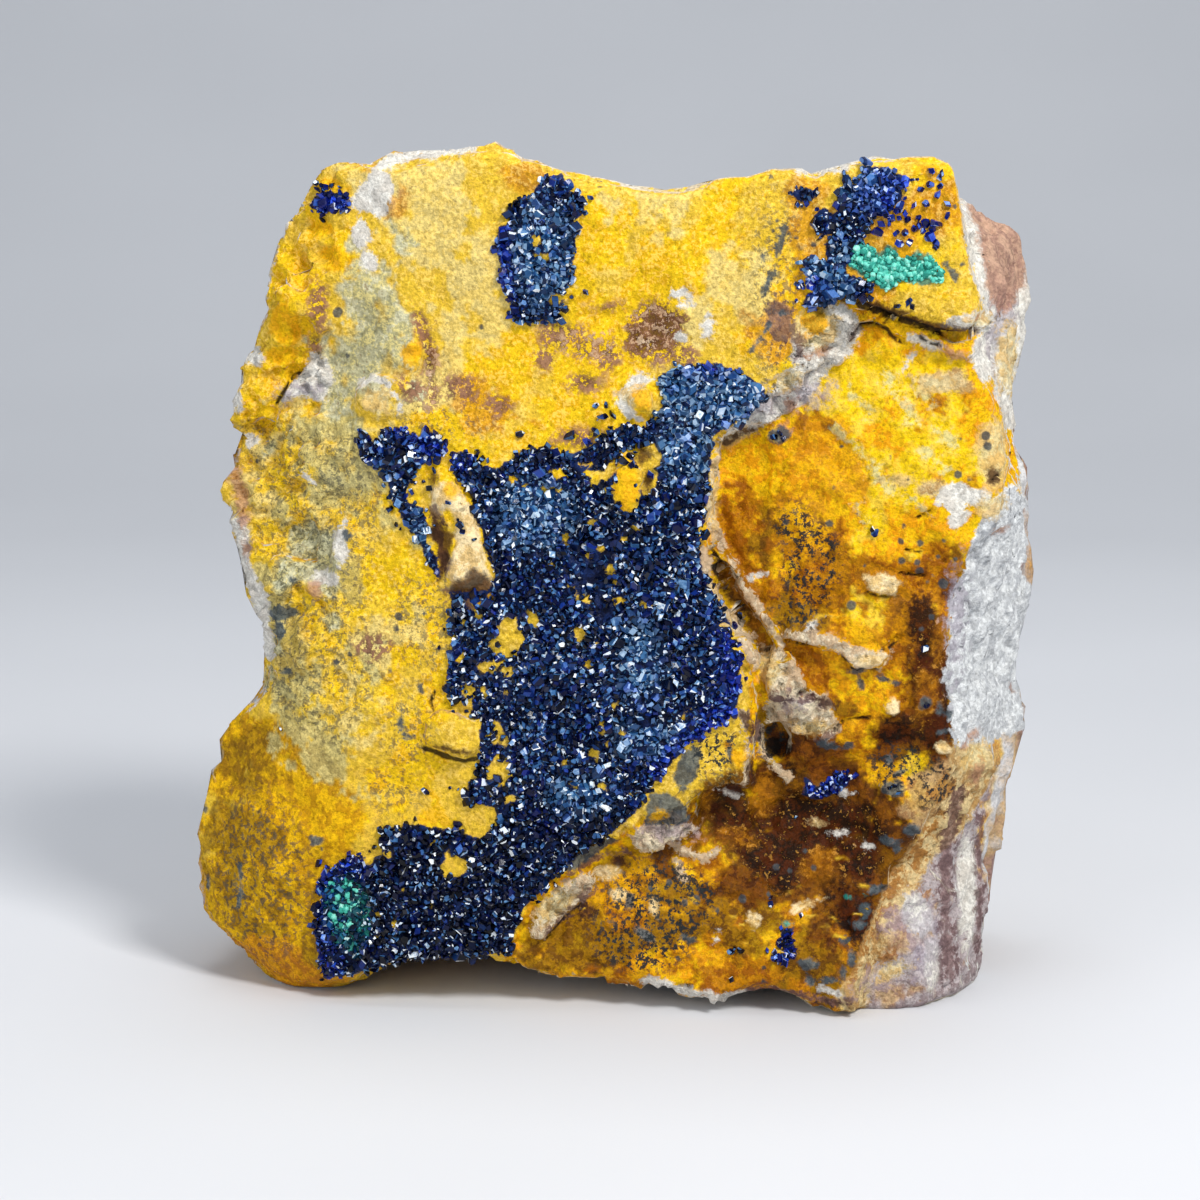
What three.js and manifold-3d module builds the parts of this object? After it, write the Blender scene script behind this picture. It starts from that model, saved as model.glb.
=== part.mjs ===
// An azurite specimen: a broken slab of quartz and limonite rock that stands on its edge,
// with crusts of small blue crystals and green patches on its face.
// Millimetres, +Z up. The face looks towards -Y. The origin is the middle of the footprint.
import * as THREE from 'three';
import { mergeVertices } from 'three/addons/utils/BufferGeometryUtils.js';
import { ImprovedNoise } from 'three/addons/math/ImprovedNoise.js';
import Module from 'manifold-3d';

const wasm = await Module();
wasm.setup();

// Driving dimensions
const FACE_DEPTH = 16;
const FACE_TURN = 0.1;
const FACE_LEAN = 0.03;
const MID_HEIGHT = 50;
const STEP_DEPTH = 4;
const BACK_DEPTH = 19.5;
const LEFT_FALL = { from: -22, width: 24, depth: 7 };
const FOOT_RISE = { below: 18, over: 15, height: 3.5 };
const CRUMBLY = { x: [-29, -36], z: [26, 40], coarse: 2.8, fine: 1.4 };
const SHELL_REACH = 30;
const BED_BACK = 2;
const BED_EDGE = { top: 0.3, foot: 0.6, back: 4 };
const LOFT_CENTRE = { x: 0, z: 48 };
const FIELD = { x0: -60, x1: 60, z0: -9, z1: 111 };
const FACE_CELL = 4;
const BACK_CELL = 7.5;
const CRUST_GAP = 0.3;
const CRUST_THICKNESS = 0.8;
const CLEARANCE = 0.4;
const MARGIN = 1.14;
const CRYSTAL_ROOT = 0.65;
const POINT = { cell: 2.24, peak: [1.6, 2.7], valley: [0.5, 1.1] };
const BLOCK = {
  spacing: 8.5, size: 1.7, height: 2.7, slender: [0.62, 1.12], lean: 0.9, slope: 0.8, top: 0.62,
};
const LUMP = {
  spacing: 2.8, size: 1.5, sides: 5, shoulder: 0.6, shoulderSize: 0.85, peak: 0.9, peakSize: 0.35,
};
const SIZE_RANGE = { block: [0.75, 1.25], lump: [0.7, 1.3] };
const SLAB_FORM = { room: 1.12, shoulder: 0.6, root: 1.6 };
const CELL_JITTER = 0.62;
const SPREAD_JITTER = 0.8;
const NOISE_SHIFT = { x: 7.3, y: 1.9, z: 4.6 };
// Fine and coarse unevenness of the faces: wavelength, height, and the noise's own level
const UPPER_GRAIN = [[6, 0.9, 3], [3.1, 0.4, 9]];
const LOWER_GRAIN = [[7, 1.5, 21], [3.4, 0.9, 27]];
const BACK_GRAIN = [[13, 3.2, 40], [5.5, 1.8, 47]];
const FOOT_GRAIN = { wavelength: 4, height: 1.6, depthShare: 0.5 };

// Points closer than this are one point, and a cross product below PARALLEL is of parallel lines
const SAME_POINT = 1e-5;
const PARALLEL = 1e-9;
const ROUNDING = 1e-6;

// The border of the face, clockwise from the top left
const RIM = [
  [-32.5, 98], [-26.5, 98], [-20, 99.5], [-14, 100.5], [-9, 99], [-3, 97], [5.5, 95.5],
  [10, 96], [11, 97], [17.5, 98], [19.5, 98.5], [22.5, 97], [24.5, 98], [28.5, 99],
  [36.5, 99], [38, 98], [38.5, 95.5], [39, 92], [40.5, 84], [41, 80.5], [42, 77.5],
  [42, 75], [44, 69], [44.5, 63], [44, 60], [42.5, 57], [40.5, 54], [39, 50.5],
  [38.5, 46], [38, 42], [38.5, 38.5], [39.5, 35], [39.5, 30], [38, 26], [35, 21],
  [32.5, 17], [31, 13], [29, 9], [28.5, 5], [28.5, 1], [26, 0.5], [21.5, 2], [17.5, 3.5],
  [11.5, 1.5], [7.5, 2.5], [4, 3], [-2.5, 3.5], [-9.5, 4], [-13.5, 6], [-17, 6],
  [-21.5, 6], [-25.5, 5.5], [-30.5, 3], [-34.5, 1.5], [-38.5, 1], [-41.5, 2.5], [-44, 4.5],
  [-50, 8.5], [-52.4, 13.5], [-52.2, 19], [-50, 25.5], [-45.5, 31.5], [-41.5, 36],
  [-41, 42.5], [-43.5, 50], [-44.5, 56.5], [-47.7, 63.5], [-46.2, 69.5], [-43.5, 73], [-42.5, 76],
  [-40, 81], [-40, 87], [-38, 92], [-36.5, 93.5], [-34.5, 96],
];

// The border halfway through the slab
const WAIST = [
  [-34, 93], [-30, 97.5], [-26, 98.5], [-20, 98.5], [-12, 95.5], [-4, 93.5], [4, 92],
  [12, 92.5], [20, 94], [28, 95], [36, 95], [42, 93.5], [45.5, 92], [47.5, 88],
  [48.5, 83.5], [48, 76], [46.5, 71], [47, 65.5], [48.5, 61.5], [50.5, 54], [50, 49],
  [49.5, 42], [49.5, 38], [48.5, 31], [47.2, 22.5], [45.8, 13], [44.8, 8], [44.5, 3.5],
  [44, -3], [36, -3], [28, -3], [22, 1.5], [12, 1.5], [0, 2.5], [-12, 3], [-26, 3],
  [-30, 0], [-33, -3], [-42, -3], [-46, 4], [-48.5, 10], [-48.5, 18], [-46, 26],
  [-41, 34], [-38.5, 42], [-40, 50], [-42, 58], [-43, 66], [-41, 74], [-37.5, 82],
];

// The border of the back
const BACK = [
  [-33, 88], [-26, 94], [-14, 95], [-2, 91], [10, 90], [22, 92], [34, 92], [44, 87],
  [47, 76], [45, 66], [48, 54], [48, 42], [46, 28], [46, 14], [43, 4], [40, -7],
  [20, -7], [0, -7], [-20, -7], [-36, -7], [-42, 5], [-44, 14], [-40, 26], [-36, 38],
  [-36, 52], [-38, 66], [-37, 78],
];

// The broken edge of the upper bed, from the right side down to the bottom:
// x and z of its top line, then x and z of its foot on the lower face
const STEP = [
  [56, 82, 56, 82], [41.5, 80.5, 42, 80], [38, 80, 38.5, 79.5], [32.5, 81.5, 33, 81],
  [27, 83.5, 30, 81], [21, 83, 28.5, 79.5], [20.5, 78.5, 26.5, 77], [19.5, 75, 22.5, 73.5],
  [17, 72, 20, 70.5], [13.5, 69, 15.5, 68], [11.5, 67.5, 12.8, 66.5], [11, 63, 12.2, 62.5],
  [10.2, 58, 11.4, 58], [10, 53.5, 11.4, 53], [12, 48, 14, 47], [15, 43, 17, 42.5],
  [15.5, 37.5, 17.5, 37], [15, 33, 17, 32], [14.5, 28, 17, 25.5], [10, 27, 11.5, 24.5],
  [8.5, 24.5, 9.8, 20.5], [4, 24, 6, 19], [1, 21.5, 2.5, 17.5], [-2.5, 19, -1, 15.5],
  [-7, 16.5, -5.5, 11.5], [-10, 13.5, -7.8, 8.5], [-12, 8, -9.6, 4.5], [-13.5, 4, -11, 2],
  [-14, -12, -11, -12],
];

// Beyond the rock, the bed's outline ends in a wide frame
const BED_FRAME = [[-70, -12], [-70, 120], [56, 120]];

// The sandy foot at the lower right: its outline at four depths
const SANDY_FOOT = [
  { y: -15.8, outline: [[27, 9], [31, 12], [34.5, 8], [36.5, 3], [36, -3], [27, -3]] },
  { y: -11, outline: [[27, 18], [34.5, 20], [38.5, 13], [41, 6], [41.5, -3], [25, -3]] },
  { y: -4, outline: [[27, 22], [40, 22], [45.5, 12], [45, 4], [45, -3], [25, -3]] },
  { y: 4, outline: [[29, 20], [40, 20], [44, 12], [44, 4], [43, -3], [27, -3]] },
];

// Broad swells and hollows of the upper bed: x, z, radius, height
const UPPER_FORMS = [
  [-40, 18, 10, 2.5], [-38, 58, 5, 1.4], [-33, 76, 5, -1.6], [-38, 84, 5, 1.8],
  [-35, 67, 4, 1.6], [-41, 48, 5, 1.2], [-26, 70, 4, 1.4], [-22, 76, 2.6, -1.3],
  [-22.5, 79, 2, 1.2], [3, 79, 4, -1.6], [-9, 77, 6, -0.7], [12, 86, 8, 0.7],
  [-14, 88, 9, 0.8], [-43, 29, 5, -2.2], [-30, 36, 8, 1.2], [-26, 28, 5, -0.9],
  [-2, 44, 12, 1.1], [9, 40, 6, 0.9], [-22, 12, 8, -0.6], [34, 92, 5, 0.6],
];

// The same for the lower face
const LOWER_FORMS = [
  [30, 60, 15, 2.6], [22, 24, 11, -3.2], [36, 68, 5, 1.2], [36, 32, 4, -1.2],
  [17, 31, 3, -1.6], [4, 10, 7, 0.9], [20, 12, 7, 1.1], [33, 47, 5, 0.9],
  [22, 52, 7, -0.8], [13, 56, 2.4, -1.4], [15, 50, 2.4, -1.2], [33, 22, 4, 1.1],
];

// The sides' rings, from front to back. Each one's y is a share of the face's depth and a shift.
// Its place is a share of the way from the rim to the waist, or past 1 from the waist to the back.
const SHELL_RINGS = [
  { depth: 0, shift: -SHELL_REACH, part: 0, inset: 1.6 },
  { depth: 1, shift: -0.3, part: 0, inset: 1 },
  { depth: 1, shift: 1.8, part: 0.02, inset: 0 },
  { depth: 0.55, shift: 0, part: 0.45, inset: -0.5 },
  { depth: 0.28, shift: 0, part: 0.72, inset: 0.5 },
  { depth: 0, shift: 0.5, part: 1, inset: -0.6 },
  { depth: 0, shift: 5, part: 1.2, inset: 0.6 },
  { depth: 0, shift: 10, part: 1.45, inset: -0.5 },
  { depth: 0, shift: 15, part: 1.75, inset: 0.3 },
  { depth: 0, shift: SHELL_REACH, part: 2.1, inset: 0 },
];
const SHELL_WAVE = {
  wavelength: 7, levelStep: 9, front: 0.4, side: 2.4, frontRings: 3, flatShare: 0.5, steep: 0.7,
};

// The slot under the plate's edge: x, upper and lower edge at each station
const SLOT_STATIONS = [
  [29.6, 82.5, 81.6], [33, 81.4, 80.6], [35.4, 80.6, 79.7], [38, 80.1, 79.1], [41, 80.2, 79.3],
  [50, 80.4, 79.6],
];
const SLOT = { mouth: 2, deep: 1.6, pinch: 0.35 };

// The fracture planes of the back: how far each is raised at a point, and its slopes
const BACK_PLANES = [
  { rise: 0, slopeX: 0, slopeZ: 0, x: 0, z: 0 },
  { rise: 4, slopeX: 0, slopeZ: -0.16, x: 0, z: 40 },
  { rise: 3, slopeX: -0.14, slopeZ: -0.05, x: -4, z: 60 },
  { rise: 5, slopeX: 0.17, slopeZ: 0.04, x: -8, z: 40 },
  { rise: -1.5, slopeX: 0, slopeZ: 0.12, x: 0, z: 18 },
];

// Flat pieces of rock that stand proud of a face: outline, how proud, how much narrower on top
const CHIP = {
  outline: [
    [-21, 35.8], [-19.3, 36.4], [-18.4, 35.6], [-16.8, 34.8], [-15.2, 34.5], [-15.5, 32.5],
    [-16.1, 30.7], [-17.4, 30.4], [-19.9, 31], [-22, 31.9], [-22, 33.6],
  ],
  proud: 1.7, taper: 0.97,
};
const STRIP = {
  outline: [
    [-21, 64.5], [-19.5, 64.5], [-17.5, 61], [-15.7, 57.5], [-14.2, 52], [-14.6, 50.2],
    [-18.6, 50.2], [-19.6, 54.5], [-21, 60.5],
  ],
  proud: 1.5, taper: 0.8,
};
const NODULE = {
  outline: [[1, 72.5], [1.7, 73.8], [4, 74], [5.1, 72.4], [4.7, 70.2], [3, 69.4], [1.3, 70.4]],
  proud: 2, taper: 0.6,
};
const OVAL = {
  outline: [[0, 62.5], [1, 64.8], [2.3, 64.6], [2.8, 62], [2, 59.3], [0.8, 59]],
  proud: 1.9, taper: 0.6,
};
const SHELF = {
  outline: [
    [29.6, 82], [30.4, 79.9], [32.2, 78.5], [34.4, 78.6], [36.8, 77.6], [39.6, 76.6], [43, 77.2],
    [43, 82],
  ],
  proud: 1.5, taper: 0.97,
};
const BLADE = {
  outline: [[11, 55.5], [12.6, 54.4], [15, 50], [18.2, 45.5], [19.6, 42], [18, 42], [13.6, 48.6]],
  proud: 1.6, taper: 0.8,
};
const RUBBLE = {
  outline: [[16, 43], [20, 42.4], [23, 40], [24.5, 36.5], [22, 35], [19, 37.5], [16.5, 36]],
  proud: 1.5, taper: 0.7,
};
const SHEET = {
  outline: [[19.5, 46], [27, 47.4], [32, 46], [31.6, 43], [29.4, 41], [27, 41.4], [25, 43.4], [20, 43.6]],
  proud: 1.2, taper: 0.93,
};
const FLAKE = {
  outline: [[29, 52.2], [32.4, 52], [32.4, 50], [29, 49.6]],
  proud: 0.9, taper: 0.8,
};

// Crust outlines
const MAIN_OUTLINE = [
  [-18.7, 65.5], [-13.5, 64], [-10.5, 66], [-5, 65.5], [-1.5, 67.5], [1, 69.3], [5, 68.5],
  [6, 72], [4.6, 74.8], [11.5, 76], [15.5, 74.5], [17, 73], [15.5, 70.5], [11, 68], [10.6, 62],
  [9.6, 57], [9.6, 53.5], [11.5, 48.5], [14.4, 43.5], [14.6, 39.5], [13, 35], [8.5, 33],
  [5, 29], [2, 24], [-1.5, 20.4], [-6.5, 17.5], [-10, 13.5], [-12, 9.5], [-13, 7],
  [-20.5, 7], [-26, 6.2], [-30.5, 4.4], [-34.2, 3.4], [-35.5, 8.5], [-34.5, 12.5], [-35, 15],
  [-31.5, 18], [-27.5, 17.5], [-27, 21], [-21, 21.5], [-16, 20.5], [-13.5, 22.4],
  [-17, 25.5], [-15.5, 28.5], [-15, 36], [-19, 37.5], [-19, 43.5], [-19, 49.5], [-14, 50],
  [-13.5, 52], [-15, 57.5], [-17, 61.5],
];
const MAIN_GAPS = [
  [[-13.6, 47.2], [-10.6, 47.6], [-10, 44.8], [-11.4, 41], [-13.8, 43]],
  [[-4.8, 59], [-2.8, 60], [-1.6, 56], [-1.2, 48], [-2.8, 47], [-4, 52]],
  [[-13.6, 30], [-11, 29], [-11.4, 26.4], [-13.4, 26]],
];
const LEFT_OUTLINE = [
  [-29.5, 68.5], [-27, 67], [-24, 68.5], [-19.5, 67.4], [-19.8, 65.2], [-23, 63],
  [-24, 60.4], [-21.6, 58], [-21.4, 54.6], [-20.2, 51.4], [-22, 53], [-22.2, 55.5], [-24.6, 58.4],
  [-26, 62], [-29, 64],
];
const TOP_OUTLINE = [
  [-8, 96.6], [-5.5, 96.2], [-3.2, 94], [-4.5, 91.5], [-5.5, 86], [-6, 82], [-10, 80.5],
  [-12, 81.8], [-13.2, 87], [-13.4, 90.8], [-11.5, 93.6],
];
const CORNER_OUTLINE = [
  [21.2, 94], [24, 96.4], [28, 97.8], [31, 97], [31.8, 94], [30, 92], [27.6, 91], [26, 88.8],
  [25.6, 86.6], [24, 84.6], [20.8, 84.4], [20.8, 88], [22.8, 89.6],
];
const EDGE_OUTLINE = [[-35, 93.6], [-33.8, 95], [-30.4, 94.8], [-31, 93], [-33.6, 92.4]];
const PLATE_SPOT = [[19, 95.2], [20.8, 96], [22, 94.8], [20.4, 93.8]];
const HOLLOW_SPOT = [[22.2, 25], [24, 27], [27.8, 27.6], [27.4, 25.4], [24, 24]];
const FOOT_SPOT = [[19.6, 10.2], [21.4, 9.8], [21.6, 7], [19, 7.2]];
const CORNER_MALACHITE = [
  [26.6, 88.6], [29, 89.4], [33, 88.2], [36.2, 87], [36, 85.2], [32.5, 85], [29, 84.6], [26.8, 86.4],
];
const LOWER_MALACHITE = [
  [-33.4, 15], [-31, 15.6], [-29.6, 13], [-30.2, 9.6], [-32.6, 8.2], [-34, 10.6],
];

const noise = new ImprovedNoise();

// A repeatable random number for a whole-number seed, from 0 to 1
function randomFor(seed) {
  const mixed = Math.sin(seed * 12.9898 + 4.1414) * 43758.5453;
  return mixed - Math.floor(mixed);
}

function rough(x, y, z, scale, height) {
  const { x: shiftX, y: shiftY, z: shiftZ } = NOISE_SHIFT;
  return noise.noise(x / scale + shiftX, y / scale + shiftY, z / scale + shiftZ) * height;
}

function grain(layers, x, z) {
  const heights = layers.map(([wavelength, height, level]) => rough(x, level, z, wavelength, height));
  return heights.reduce((sum, height) => sum + height, 0);
}

function randomBetween([low, high], seed) {
  return low + (high - low) * randomFor(seed);
}

function smoothStep(from, to, value) {
  const t = THREE.MathUtils.clamp((value - from) / (to - from), 0, 1);
  return t * t * (3 - 2 * t);
}

function swell(forms, x, z) {
  let sum = 0;
  for (const [cx, cz, radius, height] of forms) {
    sum += height * Math.exp(-((x - cx) ** 2 + (z - cz) ** 2) / radius ** 2);
  }
  return sum;
}

// The slab's tilted front plane, which falls away towards the left
function frontPlane(x, z) {
  const past = Math.max(0, LEFT_FALL.from - x) / LEFT_FALL.width;
  return FACE_DEPTH + FACE_TURN * x - FACE_LEAN * (z - MID_HEIGHT) - past ** 2 * LEFT_FALL.depth;
}

// How far the upper bed's face stands in front of the middle of the slab. It is crumbly at the left.
function upperFace(x, z) {
  const crumbly = smoothStep(...CRUMBLY.x, x) * smoothStep(...CRUMBLY.z, z);
  const [[coarse, coarseHeight, coarseLevel], [fine, fineHeight, fineLevel]] = UPPER_GRAIN;
  const uneven = rough(x, coarseLevel, z, coarse, coarseHeight + CRUMBLY.coarse * crumbly)
    + rough(x, fineLevel, z, fine, fineHeight + CRUMBLY.fine * crumbly);
  return frontPlane(x, z) + uneven + swell(UPPER_FORMS, x, z);
}

function lowerFace(x, z) {
  const rise = FOOT_RISE.height * smoothStep(FOOT_RISE.below, FOOT_RISE.below - FOOT_RISE.over, z);
  return frontPlane(x, z) - STEP_DEPTH + rise + grain(LOWER_GRAIN, x, z) + swell(LOWER_FORMS, x, z);
}

// The back is a few broad fracture planes with small steps
function backFace(x, z) {
  const planes = BACK_PLANES.map(({ rise, slopeX, slopeZ, x: cx, z: cz }) => (
    BACK_DEPTH + rise + slopeX * (x - cx) + slopeZ * (z - cz)
  ));
  return Math.min(...planes) + grain(BACK_GRAIN, x, z);
}

function toSolid(positions, indices) {
  const loose = new THREE.BufferGeometry();
  loose.setAttribute('position', new THREE.Float32BufferAttribute(positions, 3));
  loose.setIndex(indices);
  const geometry = mergeVertices(loose, SAME_POINT);
  return new wasm.Manifold(new wasm.Mesh({
    numProp: 3,
    vertProperties: new Float32Array(geometry.attributes.position.array),
    triVerts: new Uint32Array(geometry.index.array),
  }));
}

function seenFromFront(ring) {
  return ring.map(([x, , z]) => new THREE.Vector2(x, z));
}

// The triangles across a ring, all turned to face the front
function capTriangles(ring) {
  const flat = seenFromFront(ring);
  return THREE.ShapeUtils.triangulateShape(flat, []).map(([a, b, c]) => {
    const turned = THREE.ShapeUtils.area([flat[a], flat[b], flat[c]]) < 0;
    return turned ? [a, c, b] : [a, b, c];
  });
}

// A closed solid through rings of [x, y, z] points. Each ring has as many points as the
// others, and lies behind the one before it.
function loft(anyRings) {
  const isClockwise = THREE.ShapeUtils.area(seenFromFront(anyRings[0])) < 0;
  const rings = anyRings.map((ring) => (isClockwise ? ring : ring.slice().reverse()));
  const count = rings[0].length;
  const positions = rings.flat(2);
  const indices = [];
  for (let ring = 0; ring + 1 < rings.length; ring += 1) {
    for (let i = 0; i < count; i += 1) {
      const next = (i + 1) % count;
      const a = ring * count + i;
      const b = ring * count + next;
      indices.push(a, b, a + count, b, b + count, a + count);
    }
  }
  const last = (rings.length - 1) * count;
  for (const [a, b, c] of capTriangles(rings[0])) indices.push(a, b, c);
  for (const [a, b, c] of capTriangles(rings.at(-1))) indices.push(last + a, last + c, last + b);
  return toSolid(positions, indices);
}

// A block between two surfaces y = front(x, z) and y = back(x, z). Its grid points are
// shifted a little, so that the facets come out uneven.
function reliefBlock(front, back, cell, box) {
  const columns = Math.ceil((box.x1 - box.x0) / cell);
  const rows = Math.ceil((box.z1 - box.z0) / cell);
  const positions = [];
  const indices = [];
  for (const surface of [front, back]) {
    for (let row = 0; row <= rows; row += 1) {
      for (let column = 0; column <= columns; column += 1) {
        const seed = row * 211 + column;
        const inside = row > 0 && row < rows && column > 0 && column < columns ? CELL_JITTER : 0;
        const x = box.x0 + (column + (randomFor(seed) - 0.5) * inside) * cell;
        const z = box.z0 + (row + (randomFor(seed + 5000) - 0.5) * inside) * cell;
        positions.push(x, surface(x, z, column, row), z);
      }
    }
  }
  const at = (layer, column, row) => layer * (rows + 1) * (columns + 1) + row * (columns + 1) + column;
  for (let row = 0; row < rows; row += 1) {
    for (let column = 0; column < columns; column += 1) {
      const corners = [[column, row], [column + 1, row], [column + 1, row + 1], [column, row + 1]];
      const turned = randomFor(row * 97 + column * 13) > 0.5 ? [0, 1, 2, 0, 2, 3] : [1, 2, 3, 1, 3, 0];
      for (let i = 0; i < 6; i += 3) {
        const [a, b, c] = turned.slice(i, i + 3).map((k) => corners[k]);
        indices.push(at(0, ...a), at(0, ...b), at(0, ...c));
        indices.push(at(1, ...a), at(1, ...c), at(1, ...b));
      }
    }
  }
  const wall = (p, q) => {
    indices.push(at(0, ...p), at(1, ...q), at(0, ...q), at(0, ...p), at(1, ...p), at(1, ...q));
  };
  for (let column = 0; column < columns; column += 1) {
    wall([column, 0], [column + 1, 0]);
    wall([column + 1, rows], [column, rows]);
  }
  for (let row = 0; row < rows; row += 1) {
    wall([columns, row], [columns, row + 1]);
    wall([0, row + 1], [0, row]);
  }
  return toSolid(positions, indices);
}

// Everything above the surface that the rock stands on
function aboveGround() {
  const { x0, x1, z1 } = FIELD;
  const outline = [[x0, z1], [x1, z1], [x1, 0], [x0, 0]];
  return loft([-SHELL_REACH, SHELL_REACH].map((y) => outline.map(([x, z]) => [x, y, z])));
}

// The distance from the loft's centre to an outline, in the direction of an angle
function reach(outline, angle) {
  const dx = Math.cos(angle);
  const dz = Math.sin(angle);
  let best = 0;
  for (let i = 0; i < outline.length; i += 1) {
    const [ax, az] = outline[i];
    const [bx, bz] = outline[(i + 1) % outline.length];
    const px = ax - LOFT_CENTRE.x;
    const pz = az - LOFT_CENTRE.z;
    const ex = bx - ax;
    const ez = bz - az;
    const cross = dx * ez - dz * ex;
    const along = (px * ez - pz * ex) / cross;
    const part = (px * dz - pz * dx) / cross;
    if (Math.abs(cross) > PARALLEL && along > 0 && part >= -ROUNDING && part <= 1 + ROUNDING) {
      best = Math.max(best, along);
    }
  }
  return best;
}

function isInside(outline, x, z) {
  let inside = false;
  for (let i = 0, j = outline.length - 1; i < outline.length; j = i, i += 1) {
    const [ax, az] = outline[i];
    const [bx, bz] = outline[j];
    if (az > z !== bz > z && x < ((bx - ax) * (z - az)) / (bz - az) + ax) inside = !inside;
  }
  return inside;
}

// The sides of the slab: rings from the face's border through the waist to the back's
function shell() {
  const bed = [...STEP.map(([x, z]) => [x, z]), ...BED_FRAME];
  const corners = RIM.map(([x, z]) => ({
    angle: Math.atan2(z - LOFT_CENTRE.z, x - LOFT_CENTRE.x),
    rim: Math.hypot(x - LOFT_CENTRE.x, z - LOFT_CENTRE.z),
    depth: isInside(bed, x, z) ? upperFace(x, z) : lowerFace(x, z),
  }));
  return loft(SHELL_RINGS.map((ring, level) => corners.map(({ angle, rim, depth }) => {
    const waist = reach(WAIST, angle);
    const front = THREE.MathUtils.lerp(rim, waist, Math.min(ring.part, 1));
    const behind = THREE.MathUtils.lerp(waist, reach(BACK, angle), ring.part - 1);
    const radius = ring.part > 1 ? behind : front;
    const isFront = level < SHELL_WAVE.frontRings;
    const onSide = isFront || Math.abs(Math.sin(angle)) < SHELL_WAVE.steep ? 1 : SHELL_WAVE.flatShare;
    const wave = rough(
      radius * Math.cos(angle),
      level * SHELL_WAVE.levelStep,
      radius * Math.sin(angle),
      SHELL_WAVE.wavelength,
      isFront ? SHELL_WAVE.front : SHELL_WAVE.side,
    );
    const length = radius + (wave - ring.inset) * onSide;
    const x = LOFT_CENTRE.x + length * Math.cos(angle);
    const z = LOFT_CENTRE.z + length * Math.sin(angle);
    return [x, ring.shift - depth * ring.depth, z];
  })));
}

// The upper bed, whose edge slopes down to the lower face
function bedPrism() {
  const place = (points, depth) => points.map(([x, z]) => [x, depth(x, z), z]);
  const top = [...STEP.map(([x, z]) => [x, z]), ...BED_FRAME];
  const foot = [...STEP.map(([, , x, z]) => [x, z]), ...BED_FRAME];
  return loft([
    place(top, () => -SHELL_REACH),
    place(top, (x, z) => BED_EDGE.top - upperFace(x, z)),
    place(foot, (x, z) => BED_EDGE.foot - lowerFace(x, z)),
    place(foot, () => -BED_EDGE.back),
  ]);
}

function shrink(outline, scale) {
  const cx = outline.reduce((sum, [x]) => sum + x, 0) / outline.length;
  const cz = outline.reduce((sum, [, z]) => sum + z, 0) / outline.length;
  return outline.map(([x, z]) => [cx + (x - cx) * scale, cz + (z - cz) * scale]);
}

// A loose-edged flat piece on a face. grow makes the room that a crust leaves around it.
function slab({ outline, proud, taper }, face, grow = 0) {
  const wide = grow > 0 ? shrink(outline, SLAB_FORM.room) : outline;
  const ring = (points, height) => points.map(([x, z]) => [x, -face(x, z) - height, z]);
  return loft([
    ring(shrink(wide, taper), proud + grow),
    ring(shrink(wide, (1 + taper) / 2), proud * SLAB_FORM.shoulder + grow),
    ring(wide, -SLAB_FORM.root),
  ]);
}

// The dark slot under the plate's edge at the upper right, which narrows inwards
function ledgeSlot() {
  const ring = (depth, open) => {
    const edge = (side) => SLOT_STATIONS.map(([x, upper, lower]) => {
      const z = (upper + lower) / 2 + side * open * (upper - lower) / 2;
      return [x, depth(x, z), z];
    });
    return [...edge(1), ...edge(-1).reverse()];
  };
  return loft([
    ring(() => -SHELL_REACH, 1),
    ring((x, z) => -lowerFace(x, z) - SLOT.mouth, 1),
    ring((x, z) => -lowerFace(x, z) + SLOT.deep, SLOT.pinch),
  ]);
}

function sandyFoot() {
  const { wavelength, height, depthShare } = FOOT_GRAIN;
  const bump = (x, z, y) => rough(x, y, z, wavelength, height);
  return loft(SANDY_FOOT.map(({ y, outline }) => outline.map(([x, z]) => (
    [x + bump(x, z, y), y + bump(z, x, y) * depthShare, z]
  ))));
}

function matrixRock() {
  const faceBlock = reliefBlock((x, z) => -lowerFace(x, z), () => SHELL_REACH, FACE_CELL, FIELD);
  const backBlock = reliefBlock(() => -SHELL_REACH, backFace, BACK_CELL, FIELD);
  const bedBlock = reliefBlock((x, z) => -upperFace(x, z), () => -BED_BACK, FACE_CELL, FIELD);
  let rock = faceBlock.intersect(backBlock).add(bedBlock.intersect(bedPrism()));
  rock = rock.add(slab(SHELF, lowerFace));
  rock = rock.subtract(ledgeSlot());
  for (const piece of [CHIP, STRIP, NODULE, OVAL]) rock = rock.add(slab(piece, upperFace));
  for (const piece of [BLADE, RUBBLE, SHEET, FLAKE]) rock = rock.add(slab(piece, lowerFace));
  rock = rock.intersect(shell()).add(sandyFoot());
  return rock.intersect(aboveGround());
}

function prism(outline) {
  return loft([-SHELL_REACH, 0].map((y) => outline.map(([x, z]) => [x, y, z])));
}

// The space in front of a face inside an outline, from one height above it to another.
// Its grid is the rock's own, so that both have the same facets.
function layer(outline, face, from, to) {
  const sheet = reliefBlock((x, z) => -face(x, z) - to, (x, z) => -face(x, z) - from, FACE_CELL, FIELD);
  return sheet.intersect(prism(outline));
}

// All the space in front of a face, with the gap that a crust keeps to it
function openSpace(face) {
  return reliefBlock(() => -SHELL_REACH, (x, z) => -face(x, z) - CRUST_GAP, FACE_CELL, FIELD);
}

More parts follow.
